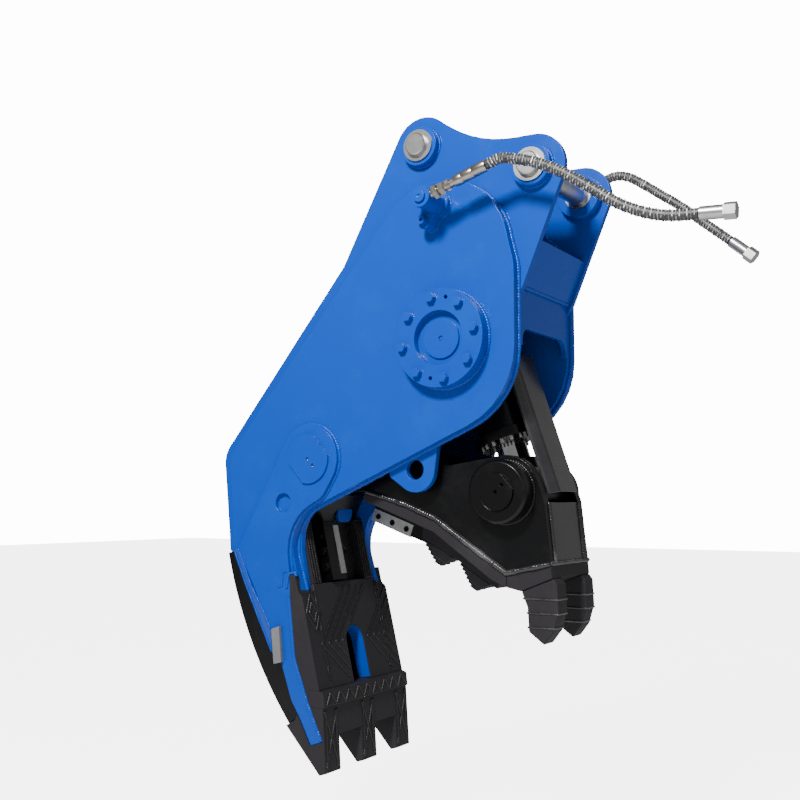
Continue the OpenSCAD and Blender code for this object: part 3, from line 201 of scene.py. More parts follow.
def group(name, inputs, outputs):
    tree = bpy.data.node_groups.new(name, "ShaderNodeTree")
    for label, kind, value in inputs:
        tree.interface.new_socket(label, in_out="INPUT", socket_type=kind).default_value = value
    for label, kind in outputs:
        tree.interface.new_socket(label, in_out="OUTPUT", socket_type=kind)
    return tree, tree.nodes, tree.links, tree.nodes.new("NodeGroupInput"), tree.nodes.new("NodeGroupOutput")


def mottled_tone():
    """A group that drifts between a dark and a light tone in a noise of the piece's own place."""
    tree, nodes, links, given, made = group(
        "mottled_tone",
        [("Dark", "NodeSocketColor", (0, 0, 0, 1)), ("Light", "NodeSocketColor", (1, 1, 1, 1)),
         ("Scale", "NodeSocketFloat", 40.0), ("Detail", "NodeSocketFloat", 4.0),
         ("Low", "NodeSocketFloat", 0.0), ("High", "NodeSocketFloat", 1.0)],
        [("Colour", "NodeSocketColor")])
    place = nodes.new("ShaderNodeTexCoord")
    grain = nodes.new("ShaderNodeTexNoise")
    links.new(place.outputs["Object"], grain.inputs["Vector"])
    links.new(given.outputs["Scale"], grain.inputs["Scale"])
    links.new(given.outputs["Detail"], grain.inputs["Detail"])
    share = nodes.new("ShaderNodeMapRange")
    links.new(grain.outputs["Fac"], share.inputs["Value"])
    links.new(given.outputs["Low"], share.inputs["From Min"])
    links.new(given.outputs["High"], share.inputs["From Max"])
    mix = nodes.new("ShaderNodeMix")
    mix.data_type = "RGBA"
    links.new(share.outputs["Result"], mix.inputs["Factor"])
    links.new(given.outputs["Dark"], mix.inputs["A"])
    links.new(given.outputs["Light"], mix.inputs["B"])
    links.new(mix.outputs["Result"], made.inputs["Colour"])
    return tree


def new_material(name):
    material = bpy.data.materials.new(name)
    material.use_nodes = True
    tree = material.node_tree
    return material, tree.nodes, tree.links, tree.nodes["Principled BSDF"]


tone = mottled_tone()


def mottled(name, dark, light, scale, detail, metallic, roughness, low=0.0, high=1.0):
    material, nodes, links, shader = new_material(name)
    toned = nodes.new("ShaderNodeGroup")
    toned.node_tree = tone
    for label, value in (("Dark", dark), ("Light", light), ("Scale", scale), ("Detail", detail),
                         ("Low", low), ("High", high)):
        toned.inputs[label].default_value = value
    links.new(toned.outputs["Colour"], shader.inputs["Base Color"])
    shader.inputs["Metallic"].default_value = metallic
    shader.inputs["Roughness"].default_value = roughness
    return material


hose_rubber = mottled("guarded_hose_rubber", (0.012, 0.012, 0.013, 1), (0.06, 0.06, 0.062, 1),
                      scale=60, detail=4, metallic=0.0, roughness=0.42)
guard_spiral = mottled("guard_spiral_steel", (0.05, 0.05, 0.048, 1), (0.42, 0.42, 0.40, 1),
                       scale=35, detail=5, metallic=0.5, roughness=0.4, low=0.35, high=0.6)
for hose_name, route in hose_routes.items():
    hose, path, length = make_hose(hose_name + "_guarded", route)
    hose.data.materials.append(hose_rubber)
    hose.data.materials.append(guard_spiral)
    shade_by_angle(hose, hose_smooth_degrees)
    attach(hose, "frame")
    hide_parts(hose_name)

# Blue welded body
# Cut and bent steel plate, welded into a box, with turned caps, covers and port blocks on its
# sides. It is sprayed in gloss enamel, which has a slight orange peel and thin patches of dust.
plate_ease = 0.0025
merge_distance = 0.00002
flat_degrees = 0.6
sharp_degrees = 35
ease_segments = 2
flat_face_weight = 90
coat_roughness = 0.12
peel_height = 0.0006
dust_scale, dust_detail, dust_roughness = 4.0, 8.0, 0.65
dust_from, dust_full = 0.5, 0.75
dust_dulling = 0.25
peel_scale, peel_detail = 160.0, 2.0


def sprayed_film():
    """A group for sprayed paint: dust in patches, which also dulls the gloss, over orange peel."""
    tree, nodes, links, given, made = group(
        "sprayed_film",
        [("Colour", "NodeSocketColor", (0.0, 0.15, 0.6, 1)),
         ("Dust Colour", "NodeSocketColor", (0.2, 0.3, 0.5, 1)), ("Dust", "NodeSocketFloat", 0.3),
         ("Gloss", "NodeSocketFloat", 0.3), ("Peel", "NodeSocketFloat", 0.1)],
        [("Colour", "NodeSocketColor"), ("Roughness", "NodeSocketFloat"), ("Normal", "NodeSocketVector")])
    place = nodes.new("ShaderNodeTexCoord")
    clouds = nodes.new("ShaderNodeTexNoise")
    clouds.inputs["Scale"].default_value = dust_scale
    clouds.inputs["Detail"].default_value = dust_detail
    clouds.inputs["Roughness"].default_value = dust_roughness
    fine = nodes.new("ShaderNodeTexNoise")
    fine.inputs["Scale"].default_value = peel_scale
    fine.inputs["Detail"].default_value = peel_detail
    links.new(place.outputs["Object"], clouds.inputs["Vector"])
    links.new(place.outputs["Object"], fine.inputs["Vector"])
    dusty = nodes.new("ShaderNodeMapRange")
    dusty.inputs["From Min"].default_value = dust_from
    dusty.inputs["From Max"].default_value = dust_full
    links.new(clouds.outputs["Fac"], dusty.inputs["Value"])
    amount = nodes.new("ShaderNodeMath")
    amount.operation = "MULTIPLY"
    links.new(dusty.outputs["Result"], amount.inputs[0])
    links.new(given.outputs["Dust"], amount.inputs[1])
    mix = nodes.new("ShaderNodeMix")
    mix.data_type = "RGBA"
    links.new(amount.outputs[0], mix.inputs["Factor"])
    links.new(given.outputs["Colour"], mix.inputs["A"])
    links.new(given.outputs["Dust Colour"], mix.inputs["B"])
    links.new(mix.outputs["Result"], made.inputs["Colour"])
    rough = nodes.new("ShaderNodeMath")
    rough.operation = "MULTIPLY_ADD"
    rough.inputs[1].default_value = dust_dulling
    links.new(amount.outputs[0], rough.inputs[0])
    links.new(given.outputs["Gloss"], rough.inputs[2])
    links.new(rough.outputs[0], made.inputs["Roughness"])
    bump = nodes.new("ShaderNodeBump")
    bump.inputs["Distance"].default_value = peel_height
    links.new(given.outputs["Peel"], bump.inputs["Strength"])
    links.new(fine.outputs["Fac"], bump.inputs["Height"])
    links.new(bump.outputs["Normal"], made.inputs["Normal"])
    return tree


film = sprayed_film()


def painted(name, colour, dust_colour, dust, gloss, peel, coat, shine=0.5):
    material, nodes, links, shader = new_material(name)
    sprayed = nodes.new("ShaderNodeGroup")
    sprayed.node_tree = film
    for label, value in (("Colour", colour), ("Dust Colour", dust_colour), ("Dust", dust),
                         ("Gloss", gloss), ("Peel", peel)):
        sprayed.inputs[label].default_value = value
    links.new(sprayed.outputs["Colour"], shader.inputs["Base Color"])
    links.new(sprayed.outputs["Roughness"], shader.inputs["Roughness"])
    links.new(sprayed.outputs["Normal"], shader.inputs["Normal"])
    shader.inputs["Coat Weight"].default_value = coat
    shader.inputs["Coat Roughness"].default_value = coat_roughness
    shader.inputs["Specular IOR Level"].default_value = shine
    return material


bodies = frame["record"]["behaviour"]["bodies"]
body_of = {node: body for body, members in bodies.items() for node in members}


def eased(node, width, material):
    """A copy of a CAD node with its sharp edges eased, as ground plate and castings have them."""
    select_only(frame["nodes"][node])
    bpy.ops.object.duplicate()
    piece = bpy.context.object
    piece.name = node + "_eased"
    for key in list(piece.keys()):
        if key.startswith("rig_"):
            del piece[key]
    piece.parent = None
    bpy.ops.object.mode_set(mode="EDIT")
    bpy.ops.mesh.select_all(action="SELECT")
    bpy.ops.mesh.remove_doubles(threshold=merge_distance)
    bpy.ops.mesh.dissolve_limited(angle_limit=math.radians(flat_degrees))
    bpy.ops.object.mode_set(mode="OBJECT")
    ease = piece.modifiers.new("ease", "BEVEL")
    ease.width = width
    ease.segments = ease_segments
    ease.limit_method = "ANGLE"
    ease.angle_limit = math.radians(sharp_degrees)
    ease.use_clamp_overlap = True
    bpy.ops.object.modifier_apply(modifier="ease")
    piece.data.materials.clear()
    piece.data.materials.append(material)
    shade_by_angle(piece, sharp_degrees)
    flats = piece.modifiers.new("flats", "WEIGHTED_NORMAL")
    flats.keep_sharp = True
    flats.weight = flat_face_weight
    bpy.context.view_layer.objects.active = piece
    bpy.ops.object.modifier_apply(modifier="flats")
    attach(piece, body_of[node])
    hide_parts(node)


blue_enamel = painted("blue_enamel", (0.0, 0.055, 0.40, 1), (0.0, 0.08, 0.46, 1),
                      dust=0.4, gloss=0.24, peel=0.2, coat=0.03, shine=0.2)
for node in ["side_plate_near", "side_plate_far", "outer_plate_near", "outer_plate_far", "pivot_doublers",
             "ear_bosses", "trunnion_cap_near", "trunnion_cap_far", "trunnion_cap_bolts", "screw_plugs",
             "pivot_pin_covers", "lifting_lugs", "back_plates", "front_cover", "ear_cross_plates",
             "ear_gussets", "throat_stop", "port_blocks", "port_clamp_screws"]:
    eased(node, plate_ease, blue_enamel)

# Black jaw and cylinder
# The moving jaw's cheeks and hub, the blades' seats, the cylinder and the plates on the fixed jaw's
# back, sprayed thinly in black. The folded rod guard and the front plate are smoother and shine more,
# and their black is mixed lighter as a painted reflection of the bright surroundings.
machined_ease, folded_ease = 0.002, 0.003
black_enamel = painted("black_enamel", (0.002, 0.002, 0.0025, 1), (0.012, 0.012, 0.013, 1),
                       dust=0.5, gloss=0.3, peel=0.4, coat=0.05, shine=0.25)
# Painted reflection: this black is mixed lighter than the black enamel to stand in for the sky reflected in
# the folded plates.
painted_reflection_black = painted("painted_reflection_black", (0.022, 0.022, 0.024, 1), (0.05, 0.05, 0.053, 1),
                      dust=0.6, gloss=0.22, peel=0.3, coat=0.2)
# The hub guard plate is given black enamel as painted shade: it lies in shadow inside the mouth.
for node in ["jaw_cheek_near", "jaw_cheek_far", "jaw_hub", "jaw_blade_seat", "rod_pin",
             "rod_pin_bosses", "barrel", "gland", "rod_eye", "dorsal_side_plates", "dorsal_wear_plate",
             "fixed_blade_holder", "fixed_blade_bolts", "jaw_blade_screws", "hub_guard_plate"]:
    eased(node, machined_ease, black_enamel)
for node in ["rod_guard", "jaw_front_plate"]:
    eased(node, folded_ease, painted_reflection_black)

# Bare wear bars
# Short bars of hard steel on the sides of the fixed jaw's back, beside the curved wear plate.
# They are left without paint and show dull grey.
bare_bar = painted("bare_wear_bar", (0.15, 0.15, 0.155, 1), (0.25, 0.25, 0.26, 1),
                   dust=0.6, gloss=0.45, peel=0.5, coat=0.0)
eased("side_wear_bars", machined_ease, bare_bar)

# Cast wear parts
# Teeth, crushing plate, throat liner, crossbar and the moving jaw's wear plate and nose. They are
# thick castings with rounded edges and a rough skin, painted matt black.
casting_ease = 0.004
cast_black = painted("cast_black", (0.019, 0.017, 0.020, 1), (0.030, 0.028, 0.030, 1),
                     dust=0.8, gloss=0.55, peel=1.0, coat=0.0, shine=0.2)
for node in ["throat_liner", "crushing_plate", "tooth_crossbar", "fixed_teeth", "jaw_wear_plate",
             "nose_block", "front_teeth", "crusher_teeth"]:
    eased(node, casting_ease, cast_black)

# Bright pins, blades, bushes and rod
# The pins, ear bushes, shear blades, screws and hose ends are turned or ground steel, left bare.
# The bushes in the caps and in the hub are bronze, and the piston rod is chromed.
metal_detail = 6
dark_share = 0.6


def metal(name, colour, roughness, scale):
    dark = tuple(c * dark_share for c in colour[:3]) + (1,)
    return mottled(name, dark, colour, scale, metal_detail, 1.0, roughness)


def finish_nodes(nodes, material):
    for node in nodes:
        frame["nodes"][node].data.materials.clear()
        frame["nodes"][node].data.materials.append(material)


bright_steel = metal("bright_steel", (0.62, 0.62, 0.61, 1), roughness=0.32, scale=40)
bronze = metal("bush_bronze", (0.5, 0.3, 0.13, 1), roughness=0.35, scale=40)
chrome = metal("rod_chrome", (0.75, 0.75, 0.75, 1), roughness=0.08, scale=20)
finish_nodes(["ear_bushes", "jaw_pivot_pin", "fixed_blade", "jaw_blade", "hose_fittings",
              "hose_end_fittings", "gland_screws", "piston", "stick_pin", "link_pin"], bright_steel)
finish_nodes(["trunnion_bushes", "jaw_hub_bushes"], bronze)
finish_nodes(["piston_rod"], chrome)

# Weld beads on the body
# Arc-weld beads laid round each plate where it sits on the one under it. They are rippled and a
# little uneven, and painted over with the body.
bead_step = 0.003
bead_sides = 8
bead_smooth_degrees = 60
ripple_pitch = 0.010
ripple_share = 0.09
uneven_share = 0.22
uneven_scale = 45
end_share = 0.4
closing_gap = 0.0001
shortest_stretch = 1e-6
fewest_steps = 3
same_plane = 0.00005
outline_digits = 5


def plate_rims(node, depth, shortest):
    """The closed outlines that a CAD node has in one plane across the width."""
    mesh = frame["nodes"][node].data
    edges = set()
    for face in mesh.polygons:
        ring = [mesh.vertices[i].co for i in face.vertices]
        if all(abs(p.y - depth) < same_plane for p in ring):
            ends = [(round(p.x, outline_digits), round(p.z, outline_digits)) for p in ring]
            for a, b in zip(ends, ends[1:] + ends[:1]):
                if (b, a) in edges:
                    edges.remove((b, a))
                else:
                    edges.add((a, b))
    following = dict(sorted(edges))
    rims = []
    while following:
        first, here = following.popitem()
        rim = [first]
        while here != first and here in following:
            rim.append(here)
            here = following.pop(here)
        rim = [Vector((x, depth, z)) for x, z in rim + [first]]
        if sum((b - a).length for a, b in zip(rim, rim[1:])) > shortest:
            rims.append(rim)
    return rims


def evenly(line, step):
    """Points at equal distances along a line, close to step apart."""
    lengths = [0.0]
    for a, b in zip(line, line[1:]):
        lengths.append(lengths[-1] + (b - a).length)
    count = max(fewest_steps, round(lengths[-1] / step))
    places, k = [], 0
    for i in range(count + 1):
        run = lengths[-1] * i / count
        while k < len(line) - 2 and lengths[k + 1] < run:
            k += 1
        stretch = max(lengths[k + 1] - lengths[k], shortest_stretch)
        places.append(line[k].lerp(line[k + 1], (run - lengths[k]) / stretch))
    return places


def turn_faces_out(piece):
    select_only(piece)
    bpy.ops.object.mode_set(mode="EDIT")
    bpy.ops.mesh.select_all(action="SELECT")
    bpy.ops.mesh.remove_doubles(threshold=merge_distance)
    bpy.ops.mesh.normals_make_consistent(inside=False)
    bpy.ops.object.mode_set(mode="OBJECT")


def bead(name, lines, out, radius, material, body):
    """Rippled beads along lines, as one piece. A line that comes back to its start has no ends."""
    points, faces = [], []
    for line in lines:
        places = evenly([Vector(p) for p in line], bead_step)
        closed = (places[0] - places[-1]).length < closing_gap
        last = len(places) - 1
        start = len(points)
        for i, place in enumerate(places):
            before = places[i - 1] if i else places[last - 1] if closed else place
            after = places[i + 1] if i < last else places[1] if closed else place
            side = (after - before).cross(out).normalized()
            lift = side.cross(after - before).normalized()
            ripple = ripple_share * math.cos(math.tau * i * bead_step / ripple_pitch)
            swell = radius * (1 + ripple + uneven_share * noise.noise(place * uneven_scale))
            if not closed and i in (0, last):
                swell *= end_share
            for k in range(bead_sides):
                turn = math.tau * k / bead_sides
                points.append(place + side * math.cos(turn) * swell + lift * math.sin(turn) * swell)
        faces += tube_faces(last + 1, bead_sides, start)
        if not closed:
            faces.append(tuple(start + k for k in reversed(range(bead_sides))))
            faces.append(tuple(start + last * bead_sides + k for k in range(bead_sides)))
    piece = new_mesh_object(name, points, faces)
    piece.data.materials.append(material)
    turn_faces_out(piece)
    shade_by_angle(piece, bead_smooth_degrees)
    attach(piece, body)


def blue_bead(name, lines, out, radius):
    bead(name, lines, out, radius, blue_enamel, "frame")


for side, half in ((-1, "near"), (1, "far")):
    plate_low, plate_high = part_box("outer_plate_" + half)
    inner_face, outer_face = (plate_high.y, plate_low.y) if side < 0 else (plate_low.y, plate_high.y)
    for kind, node, face, shortest, radius in (
            ("outer_plate", "outer_plate_" + half, inner_face, 2.0, 0.0085),
            ("doubler", "pivot_doublers", outer_face, 1.0, 0.0075),
            ("trunnion_cap", "trunnion_cap_" + half, outer_face, 0.9, 0.007),
            ("ear_boss", "ear_bosses", inner_face, 0.4, 0.006),
            ("port_block", "port_blocks", outer_face, 0.2, 0.004)):
        blue_bead(kind + "_weld_" + half, plate_rims(node, face, shortest), Vector((0, side, 0)), radius)

# Fill strips beside the fixed jaw
# Wide fill welds slope from the outer plates' back border up to the doublers, and a bead runs down
# each doubler's front border. A tongue and a tack close the near one by the mouth. All are painted
# blue, and their outlines are shares of the tool's reach.
reach = 2.1
strip_foot = [(-0.6024, -0.626), (-0.572, -0.690), (-0.5386, -0.7529), (-0.5114, -0.8033)]
strip_head = [(-0.5857, -0.6219), (-0.553, -0.688), (-0.522, -0.736), (-0.507, -0.762)]
front_border = [(-0.4665, -0.704), (-0.4572, -0.781), (-0.4532, -0.810), (-0.4232, -0.885),
                (-0.3932, -0.944)]
tongue_border = [(-0.4725, -0.690), (-0.4690, -0.668), (-0.4662, -0.663), (-0.4538, -0.661),
                 (-0.4505, -0.668)]
tack_border = [(-0.4715, -0.660), (-0.4805, -0.6605), (-0.4830, -0.686), (-0.4920, -0.6875)]
strip_foot_half, strip_head_half, border_half = 0.2618, 0.2815, 0.282
strip_sink = 0.004
strip_foot_bead, strip_head_bead = 0.004, 0.005
front_border_bead, tongue_bead, tack_bead = 0.008, 0.006, 0.004


def at_width(shares, width_place):
    """Points given as shares of the reach, at one place across the width."""
    return [Vector((x * reach, width_place, z * reach)) for x, z in shares]


def fill_strip(name, foot_row, head_row):
    """A closed strip between two rows of points, whose underside is the first row sunk a little."""
    count = len(foot_row)
    inward = Vector((0, -math.copysign(strip_sink, foot_row[0].y), 0))
    points = foot_row + head_row
    points += [Vector((b.x, a.y, b.z)) + inward for a, b in zip(foot_row, head_row)]
    faces = [(i, i + 1, count + i + 1, count + i) for i in range(count - 1)]
    faces += [(count + i, count + i + 1, 2 * count + i + 1, 2 * count + i) for i in range(count - 1)]
    faces += [(2 * count + i, 2 * count + i + 1, i + 1, i) for i in range(count - 1)]
    faces += [(0, count, 2 * count), (count - 1, 3 * count - 1, 2 * count - 1)]
    strip = new_mesh_object(name, points, faces)
    strip.data.materials.append(blue_enamel)
    turn_faces_out(strip)
    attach(strip, "frame")


for side, half in ((-1, "near"), (1, "far")):
    foot_row = at_width(strip_foot, side * strip_foot_half)
    head_row = at_width(strip_head, side * strip_head_half)
    out = Vector((0, side, 0))
    fill_strip("back_fill_weld_" + half, foot_row, head_row)
    blue_bead("back_fill_foot_" + half, [foot_row], out, strip_foot_bead)
    blue_bead("back_fill_head_" + half, [head_row], out, strip_head_bead)
for side, half in ((-1, "near"), (1, "far")):
    blue_bead("front_border_weld_" + half, [at_width(front_border, side * border_half)],
              Vector((0, side, 0)), front_border_bead)
for border, kind, radius in ((tongue_border, "tongue", tongue_bead), (tack_border, "tack", tack_bead)):
    blue_bead(kind + "_weld_near", [at_width(border, -border_half)], Vector((0, -1, 0)), radius)

# Seam of the front cover
# The front cover is welded to the panel above it by one wide bead across the tool, under the gap
# between the ears.
seam_share_x, seam_share_z = -0.031, -0.190
seam_proud = 0.004
seam_half = 0.198
seam_bead = 0.008
seam_x = seam_share_x * reach + seam_proud
blue_bead("cover_seam_weld", [[(seam_x, y, seam_share_z * reach) for y in (-seam_half, seam_half)]],
          Vector((1, 0, 0)), seam_bead)

# Weld beads on the moving jaw
# Wide beads join the cheeks to the wear plate under them and to the nose, and go round the pin's
# bosses. Their black paint is thin, so they shine a little.
jaw_seam = [(-0.343, -0.519), (-0.261, -0.542), (-0.203, -0.565), (-0.135, -0.610), (-0.070, -0.652),
            (0.008, -0.635)]
front_seam = [(-0.002, -0.538), (0.008, -0.635)]
jaw_seam_bead, boss_bead, front_bead = 0.010, 0.006, 0.008
shortest_boss_rim = 0.5
bead_black = painted("bead_black", (0.012, 0.012, 0.013, 1), (0.10, 0.10, 0.105, 1),
                     dust=1.0, gloss=0.24, peel=0.6, coat=0.3)
cheek_low, cheek_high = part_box("jaw_cheek_near")
for side, half in ((-1, "near"), (1, "far")):
    cheek_face, corner = side * abs(cheek_low[1]), side * abs(cheek_high[1])
    out = Vector((0, side, 0))
    bead("jaw_seam_" + half, [at_width(jaw_seam, cheek_face)], out, jaw_seam_bead,
         bead_black, "jaw")
    bead("pin_boss_weld_" + half, plate_rims("rod_pin_bosses", cheek_face, shortest_boss_rim), out,
         boss_bead, black_enamel, "jaw")
    bead("front_plate_weld_" + half, [at_width(front_seam, corner)], Vector((1, 0, 0)), front_bead,
         bead_black, "jaw")
nose_line = [at_width(front_seam[1:], y)[0] for y in (cheek_low[1], -cheek_low[1])]
bead("nose_weld", [nose_line], Vector((1, 0, 0)), front_bead, bead_black, "jaw")

# Lining of the crushing plate's slot
# A thin strip of blue plate lines the round-ended slot in the crushing plate and shows in it as a
# blue hollow. It is open at its foot, where the crossbar closes the slot.
face_head, face_toe = Vector((-0.469, 0, -0.571)) * reach, Vector((-0.399, 0, -0.860)) * reach
face_down = (face_toe - face_head).normalized()
face_out = Vector((-face_down.z, 0, face_down.x))
slot_half, slot_head = 0.0555, 0.471
lining_lip, lining_depth = 0.004, 0.058
lining_foot_front, lining_foot_back = 0.618, 0.612
lining_steps = 12
lining_smooth_degrees = 40
lining_thickness = 0.002


def on_face(along, across, depth=0.0):
    """A point of the crushing plate's face: down it, across it, and sunk into it."""
    return face_head + face_down * along + Vector((0, across, 0)) - face_out * depth


def slot_edge(foot, depth):
    turns = [math.pi * k / lining_steps for k in range(lining_steps + 1)]
    arch = [on_face(slot_head - math.sin(turn) * slot_half, math.cos(turn) * slot_half, depth)
            for turn in turns]
    return [on_face(foot, slot_half, depth)] + arch + [on_face(foot, -slot_half, depth)]


lining_front = slot_edge(lining_foot_front, lining_lip)
lining_back = slot_edge(lining_foot_back, lining_depth)
count = len(lining_front)
lining = new_mesh_object("slot_lining", lining_front + lining_back,
                         [(i, i + 1, count + i + 1, count + i) for i in range(count - 1)])
lining.data.materials.append(blue_enamel)
select_only(lining)
wall = lining.modifiers.new("wall", "SOLIDIFY")
wall.thickness = lining_thickness
wall.offset = 0
bpy.ops.object.modifier_apply(modifier="wall")
shade_by_angle(lining, lining_smooth_degrees)
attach(lining, "frame")

# Hard-facing on the crushing plate
# Runs of hard wear-resisting weld: nested chevrons on both sides of the slot, two nested diamonds
# near the head, and smaller chevrons on the liner between its rails. Straight runs follow the rails
# and wavy ones run down near the plate's sides.
plate_head_at, plate_foot_at, apex_at = 0.262, 0.600, 0.465
run_edge = 0.275
chevron_count, chevron_start, chevron_pitch = 4, 0.085, 0.044
chevron_clear = 0.066
diamond_at, diamond_across = 0.345, -0.235
diamond_sizes = (0.040, 0.022)
diamond_stretch = 1.7
throat_at, throat_depth, throat_root = 0.115, 0.040, 0.006
throat_chevrons = (0.020, 0.050, 0.080, 0.110)
throat_slant = 0.8
rail_places = (-0.187, -0.172, -0.157, 0.157, 0.172, 0.187)
rail_ends = (0.01, 0.24)
seam_places = (-0.205, 0.200, 0.212)
seam_from, seam_pitch, seam_points = 0.255, 0.018, 20
seam_wave, seam_wave_pitch = 0.006, 0.7
plate_run_radius = 0.0042
# Painted shade: the runs are coloured near-black, much darker than the cast plate, to stand in for the
# shadow along them.
painted_shade_run_black = painted("painted_shade_run_black", (0.003, 0.003, 0.003, 1), (0.02, 0.02, 0.02, 1),
                    dust=0.6, gloss=0.4, peel=1.0, coat=0.0)


def chevron(apex_across, rise, fall):
    return [on_face(apex_at - rise, apex_across + rise), on_face(apex_at, apex_across),
            on_face(apex_at + fall, apex_across + fall)]


runs = []
for k in range(chevron_count):
    left = -chevron_start - chevron_pitch * k
    right = chevron_start + chevron_pitch * k
    rise, fall = apex_at - plate_head_at, plate_foot_at - apex_at
    runs.append(chevron(left, rise, min(fall, -chevron_clear - left)))
    runs.append(chevron(right, min(rise, run_edge - right), min(fall, run_edge - right)))
for size in diamond_sizes:
    runs.append([on_face(diamond_at, diamond_across) + face_down * u * size * diamond_stretch
                 + Vector((0, v * size, 0)) for u, v in ((-1, 0), (0, 1), (1, 0), (0, -1), (-1, 0))])
for across in throat_chevrons:
    slant = across * throat_slant
    runs.append([on_face(throat_at - slant, throat_root, throat_depth),
                 on_face(throat_at, across, throat_depth),
                 on_face(throat_at + slant, throat_root, throat_depth)])
for across in rail_places:
    runs.append([on_face(along, across) for along in rail_ends])
for across in seam_places:
    runs.append([on_face(seam_from + seam_pitch * i,
                         across + seam_wave * noise.noise(Vector((across, i * seam_wave_pitch, 0))))
                 for i in range(seam_points)])
bead("plate_hard_runs", runs, face_out, plate_run_radius, painted_shade_run_black, "frame")

# Hard-facing on the crossbar and the fixed teeth
# A zigzag of the same weld runs along the crossbar, and each tooth has a cross and two straight
# runs down its front face.
bar_head, bar_toe = Vector((-0.390, 0, -0.864)) * reach, Vector((-0.387, 0, -0.885)) * reach
tooth_head, tooth_toe = Vector((-0.3905, 0, -0.893)) * reach, Vector((-0.3845, 0, -0.990)) * reach
zigzag_half, zigzag_count = 0.27, 9
tooth_pitch = 0.2375
cross_half, edge_run_half = 0.040, 0.030
tooth_run_radius = 0.0038
tooth_runs = [[(bar_head if i % 2 else bar_toe) + Vector((0, zigzag_half * (i / zigzag_count - 1), 0))
               for i in range(2 * zigzag_count + 1)]]
for middle in (-tooth_pitch, 0.0, tooth_pitch):
    for head_off, toe_off in ((cross_half, -cross_half), (-cross_half, cross_half),
                              (-edge_run_half, -edge_run_half), (edge_run_half, edge_run_half)):
        tooth_runs.append([tooth_head + Vector((0, middle + head_off, 0)),
                           tooth_toe + Vector((0, middle + toe_off, 0))])
# These runs are near-black too, as painted shade.
bead("tooth_hard_runs", tooth_runs, Vector((1, 0, 0)), tooth_run_radius, painted_shade_run_black, "frame")

# Bands round the moving jaw's front teeth
# Three level beads go round each of the two front teeth, one above another, to slow the wear of
# their tips.
band_heights = (-1.451, -1.498, -1.545)
tooth_width = 0.075
shortest_tooth_rim = 0.2
tooth_band_radius = 0.0035
tooth_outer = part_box("front_teeth")[1].y
bands = []
for side in (-1, 1):
    face_y = side * tooth_outer
    back_y = face_y - side * tooth_width
    rim = plate_rims("front_teeth", face_y, shortest_tooth_rim)[0]
    for height in band_heights:
        crossed = [a.x + (b.x - a.x) * (height - a.z) / (b.z - a.z) for a, b in zip(rim, rim[1:])
                   if (a.z - height) * (b.z - height) < 0]
        low_x, high_x = min(crossed), max(crossed)
        bands.append([(x, y, height) for x, y in ((low_x, face_y), (high_x, face_y), (high_x, back_y),
                                                  (low_x, back_y), (low_x, face_y))])
bead("front_tooth_bands", bands, Vector((0, 0, 1)), tooth_band_radius, bead_black, "jaw")

# Hose fittings
# Turned steel, plated and a little aged: two hexagons, a knurled ring, a neck and a long smooth
# ferrule crimped onto the hose. They screw into the port blocks. The profile gives each step's
# distance from the port's middle and its radius.
port_place = Vector((-0.164 * reach, 0, -0.044 * reach))
fitting_profile = [
    (0.031, 0.0), (0.031, 0.017), (0.044, 0.017), (0.062, 0.018), (0.066, 0.019), (0.068, 0.016),
    (0.088, 0.016), (0.090, 0.014), (0.096, 0.014), (0.097, 0.0185), (0.112, 0.0185), (0.113, 0.014),
    (0.128, 0.013), (0.130, 0.0185), (0.136, 0.0195), (0.140, 0.0205), (0.158, 0.0205), (0.160, 0.0195),
    (0.163, 0.0195), (0.165, 0.0205), (0.200, 0.0205), (0.202, 0.0195), (0.205, 0.0195), (0.207, 0.0205),
    (0.248, 0.0205), (0.252, 0.0190), (0.252, 0.0)]
fitting_sides = 32
fitting_smooth_degrees = 30
hexagons = [(0.044, 0.062, 0.027), (0.068, 0.088, 0.024)]
hexagon_sides = 6
hexagon_chamfer, hexagon_chamfer_share, hexagon_bore = 0.002, 0.93, 0.004
knurl_count, knurl_radius, knurl_ends = 40, 0.0185, (0.098, 0.111)
knurl_half, knurl_height = 0.0008, 0.0010
knurl_faces = [(0, 1, 4, 3), (1, 2, 5, 4), (2, 0, 3, 5), (2, 1, 0), (3, 4, 5)]


def turned_fitting(route):
    start = Vector(route[0]) / mm_per_metre
    base = Vector((port_place.x, start.y, port_place.z))
    ahead = (start - base).normalized()
    side = ahead.cross(Vector((0, 1, 0))).normalized()
    other = ahead.cross(side)
    points, faces = [], []

    def turned(profile, sides):
        first = len(points)
        for along, radius in profile:
            for k in range(sides):
                turn = math.tau * k / sides
                spoke = side * math.cos(turn) + other * math.sin(turn)
                points.append(base + ahead * along + spoke * radius)
        faces.extend(tube_faces(len(profile), sides, first))

    turned(fitting_profile, fitting_sides)
    for low, high, radius in hexagons:
        edge = radius * hexagon_chamfer_share
        turned([(low, hexagon_bore), (low, edge), (low + hexagon_chamfer, radius),
                (high - hexagon_chamfer, radius), (high, edge), (high, hexagon_bore)], hexagon_sides)
    for k in range(knurl_count):
        turn = math.tau * k / knurl_count
        ridge = base + (side * math.cos(turn) + other * math.sin(turn)) * knurl_radius
        across = ahead.cross(ridge - base).normalized() * knurl_half
        lift = (ridge - base).normalized() * knurl_height
        first = len(points)
        for along in knurl_ends:
            points.extend([ridge + ahead * along - across, ridge + ahead * along + lift,
                           ridge + ahead * along + across])
        faces.extend(tuple(first + i for i in face) for face in knurl_faces)
    return points, faces


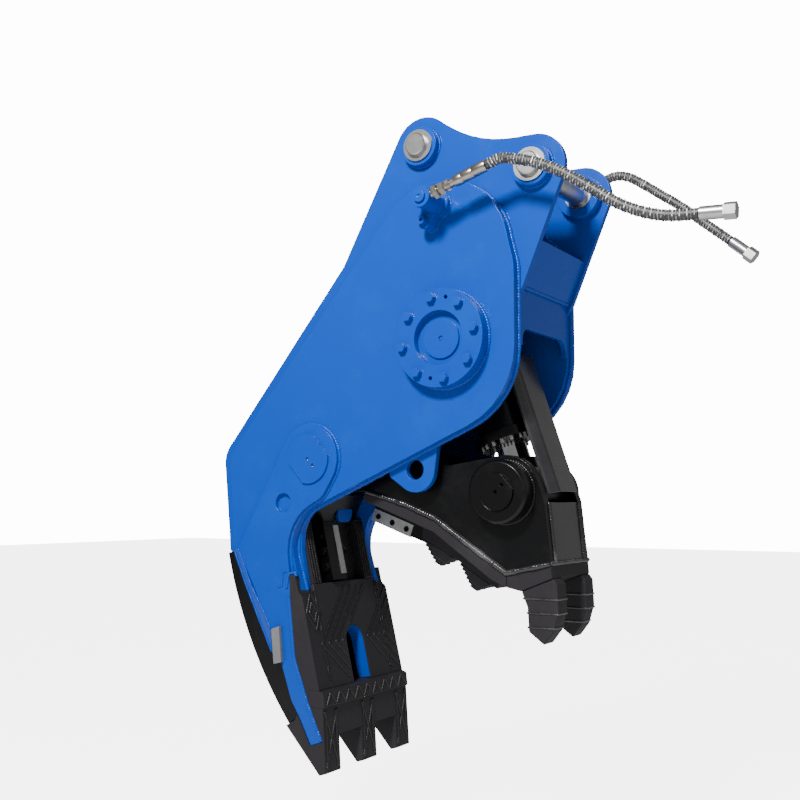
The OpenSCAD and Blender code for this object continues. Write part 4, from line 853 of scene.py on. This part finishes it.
aged_nickel = metal("aged_nickel", (0.50, 0.46, 0.38, 1), roughness=0.28, scale=90)
fitting_points, fitting_faces = [], []
for route in hose_routes.values():
    points, faces = turned_fitting(route)
    fitting_faces += [tuple(i + len(fitting_points) for i in f) for f in faces]
    fitting_points += points
fittings = new_mesh_object("turned_hose_fittings", fitting_points, fitting_faces)
fittings.data.materials.append(aged_nickel)
turn_faces_out(fittings)
shade_by_angle(fittings, fitting_smooth_degrees)
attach(fittings, "frame")
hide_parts("hose_fittings")

# Studio
# A pale paper floor well under the tool and a pale backdrop. Both look brighter to the camera than
# they light the tool. A small strong lamp stands high in front of the near side, and a wide weak
# one fills in from the front.
floor_level, floor_size = -2.6, 60
paper_tone, paper_roughness = 0.9, 0.9
floor_light, floor_seen = 0.1, 5.0
sky_light, backdrop_light = 0.30, 14.0


def brighter_to_camera(tree, socket, light, seen):
    """Gives a strength socket one value for the camera's rays and another for all the rest."""
    ray = tree.nodes.new("ShaderNodeLightPath")
    strength = tree.nodes.new("ShaderNodeMapRange")
    strength.inputs["To Min"].default_value = light
    strength.inputs["To Max"].default_value = seen
    tree.links.new(ray.outputs["Is Camera Ray"], strength.inputs["Value"])
    tree.links.new(strength.outputs["Result"], socket)


def softbox(name, place, target, size, power):
    bpy.ops.object.light_add(type="AREA", location=place)
    lamp = bpy.context.object
    lamp.name = name
    lamp.data.size = size
    lamp.data.energy = power
    lamp.rotation_euler = (Vector(target) - Vector(place)).to_track_quat("-Z", "Y").to_euler()
    lamp.select_set(False)


bpy.ops.mesh.primitive_plane_add(size=floor_size, location=(0, 0, floor_level))
floor = bpy.context.object
floor.name = "studio_floor"
studio_paper, _, _, paper_shader = new_material("studio_paper")
paper_shader.inputs["Base Color"].default_value = (paper_tone, paper_tone, paper_tone, 1)
paper_shader.inputs["Roughness"].default_value = paper_roughness
paper_shader.inputs["Emission Color"].default_value = (1, 1, 1, 1)
brighter_to_camera(studio_paper.node_tree, paper_shader.inputs["Emission Strength"], floor_light,
                   floor_seen)
floor.data.materials.append(studio_paper)
world = bpy.data.worlds.new("studio")
bpy.context.scene.world = world
world.use_nodes = True
sky = world.node_tree.nodes["Background"]
sky.inputs["Color"].default_value = (1, 1, 1, 1)
brighter_to_camera(world.node_tree, sky.inputs["Strength"], sky_light, backdrop_light)
softbox("key_softbox", place=(-0.1, -4.2, 2.3), target=(-0.6, 0, -1.0), size=0.8, power=470)
softbox("fill_softbox", place=(4.0, -2.0, 0.5), target=(-0.4, 0, -1.0), size=2.5, power=12)
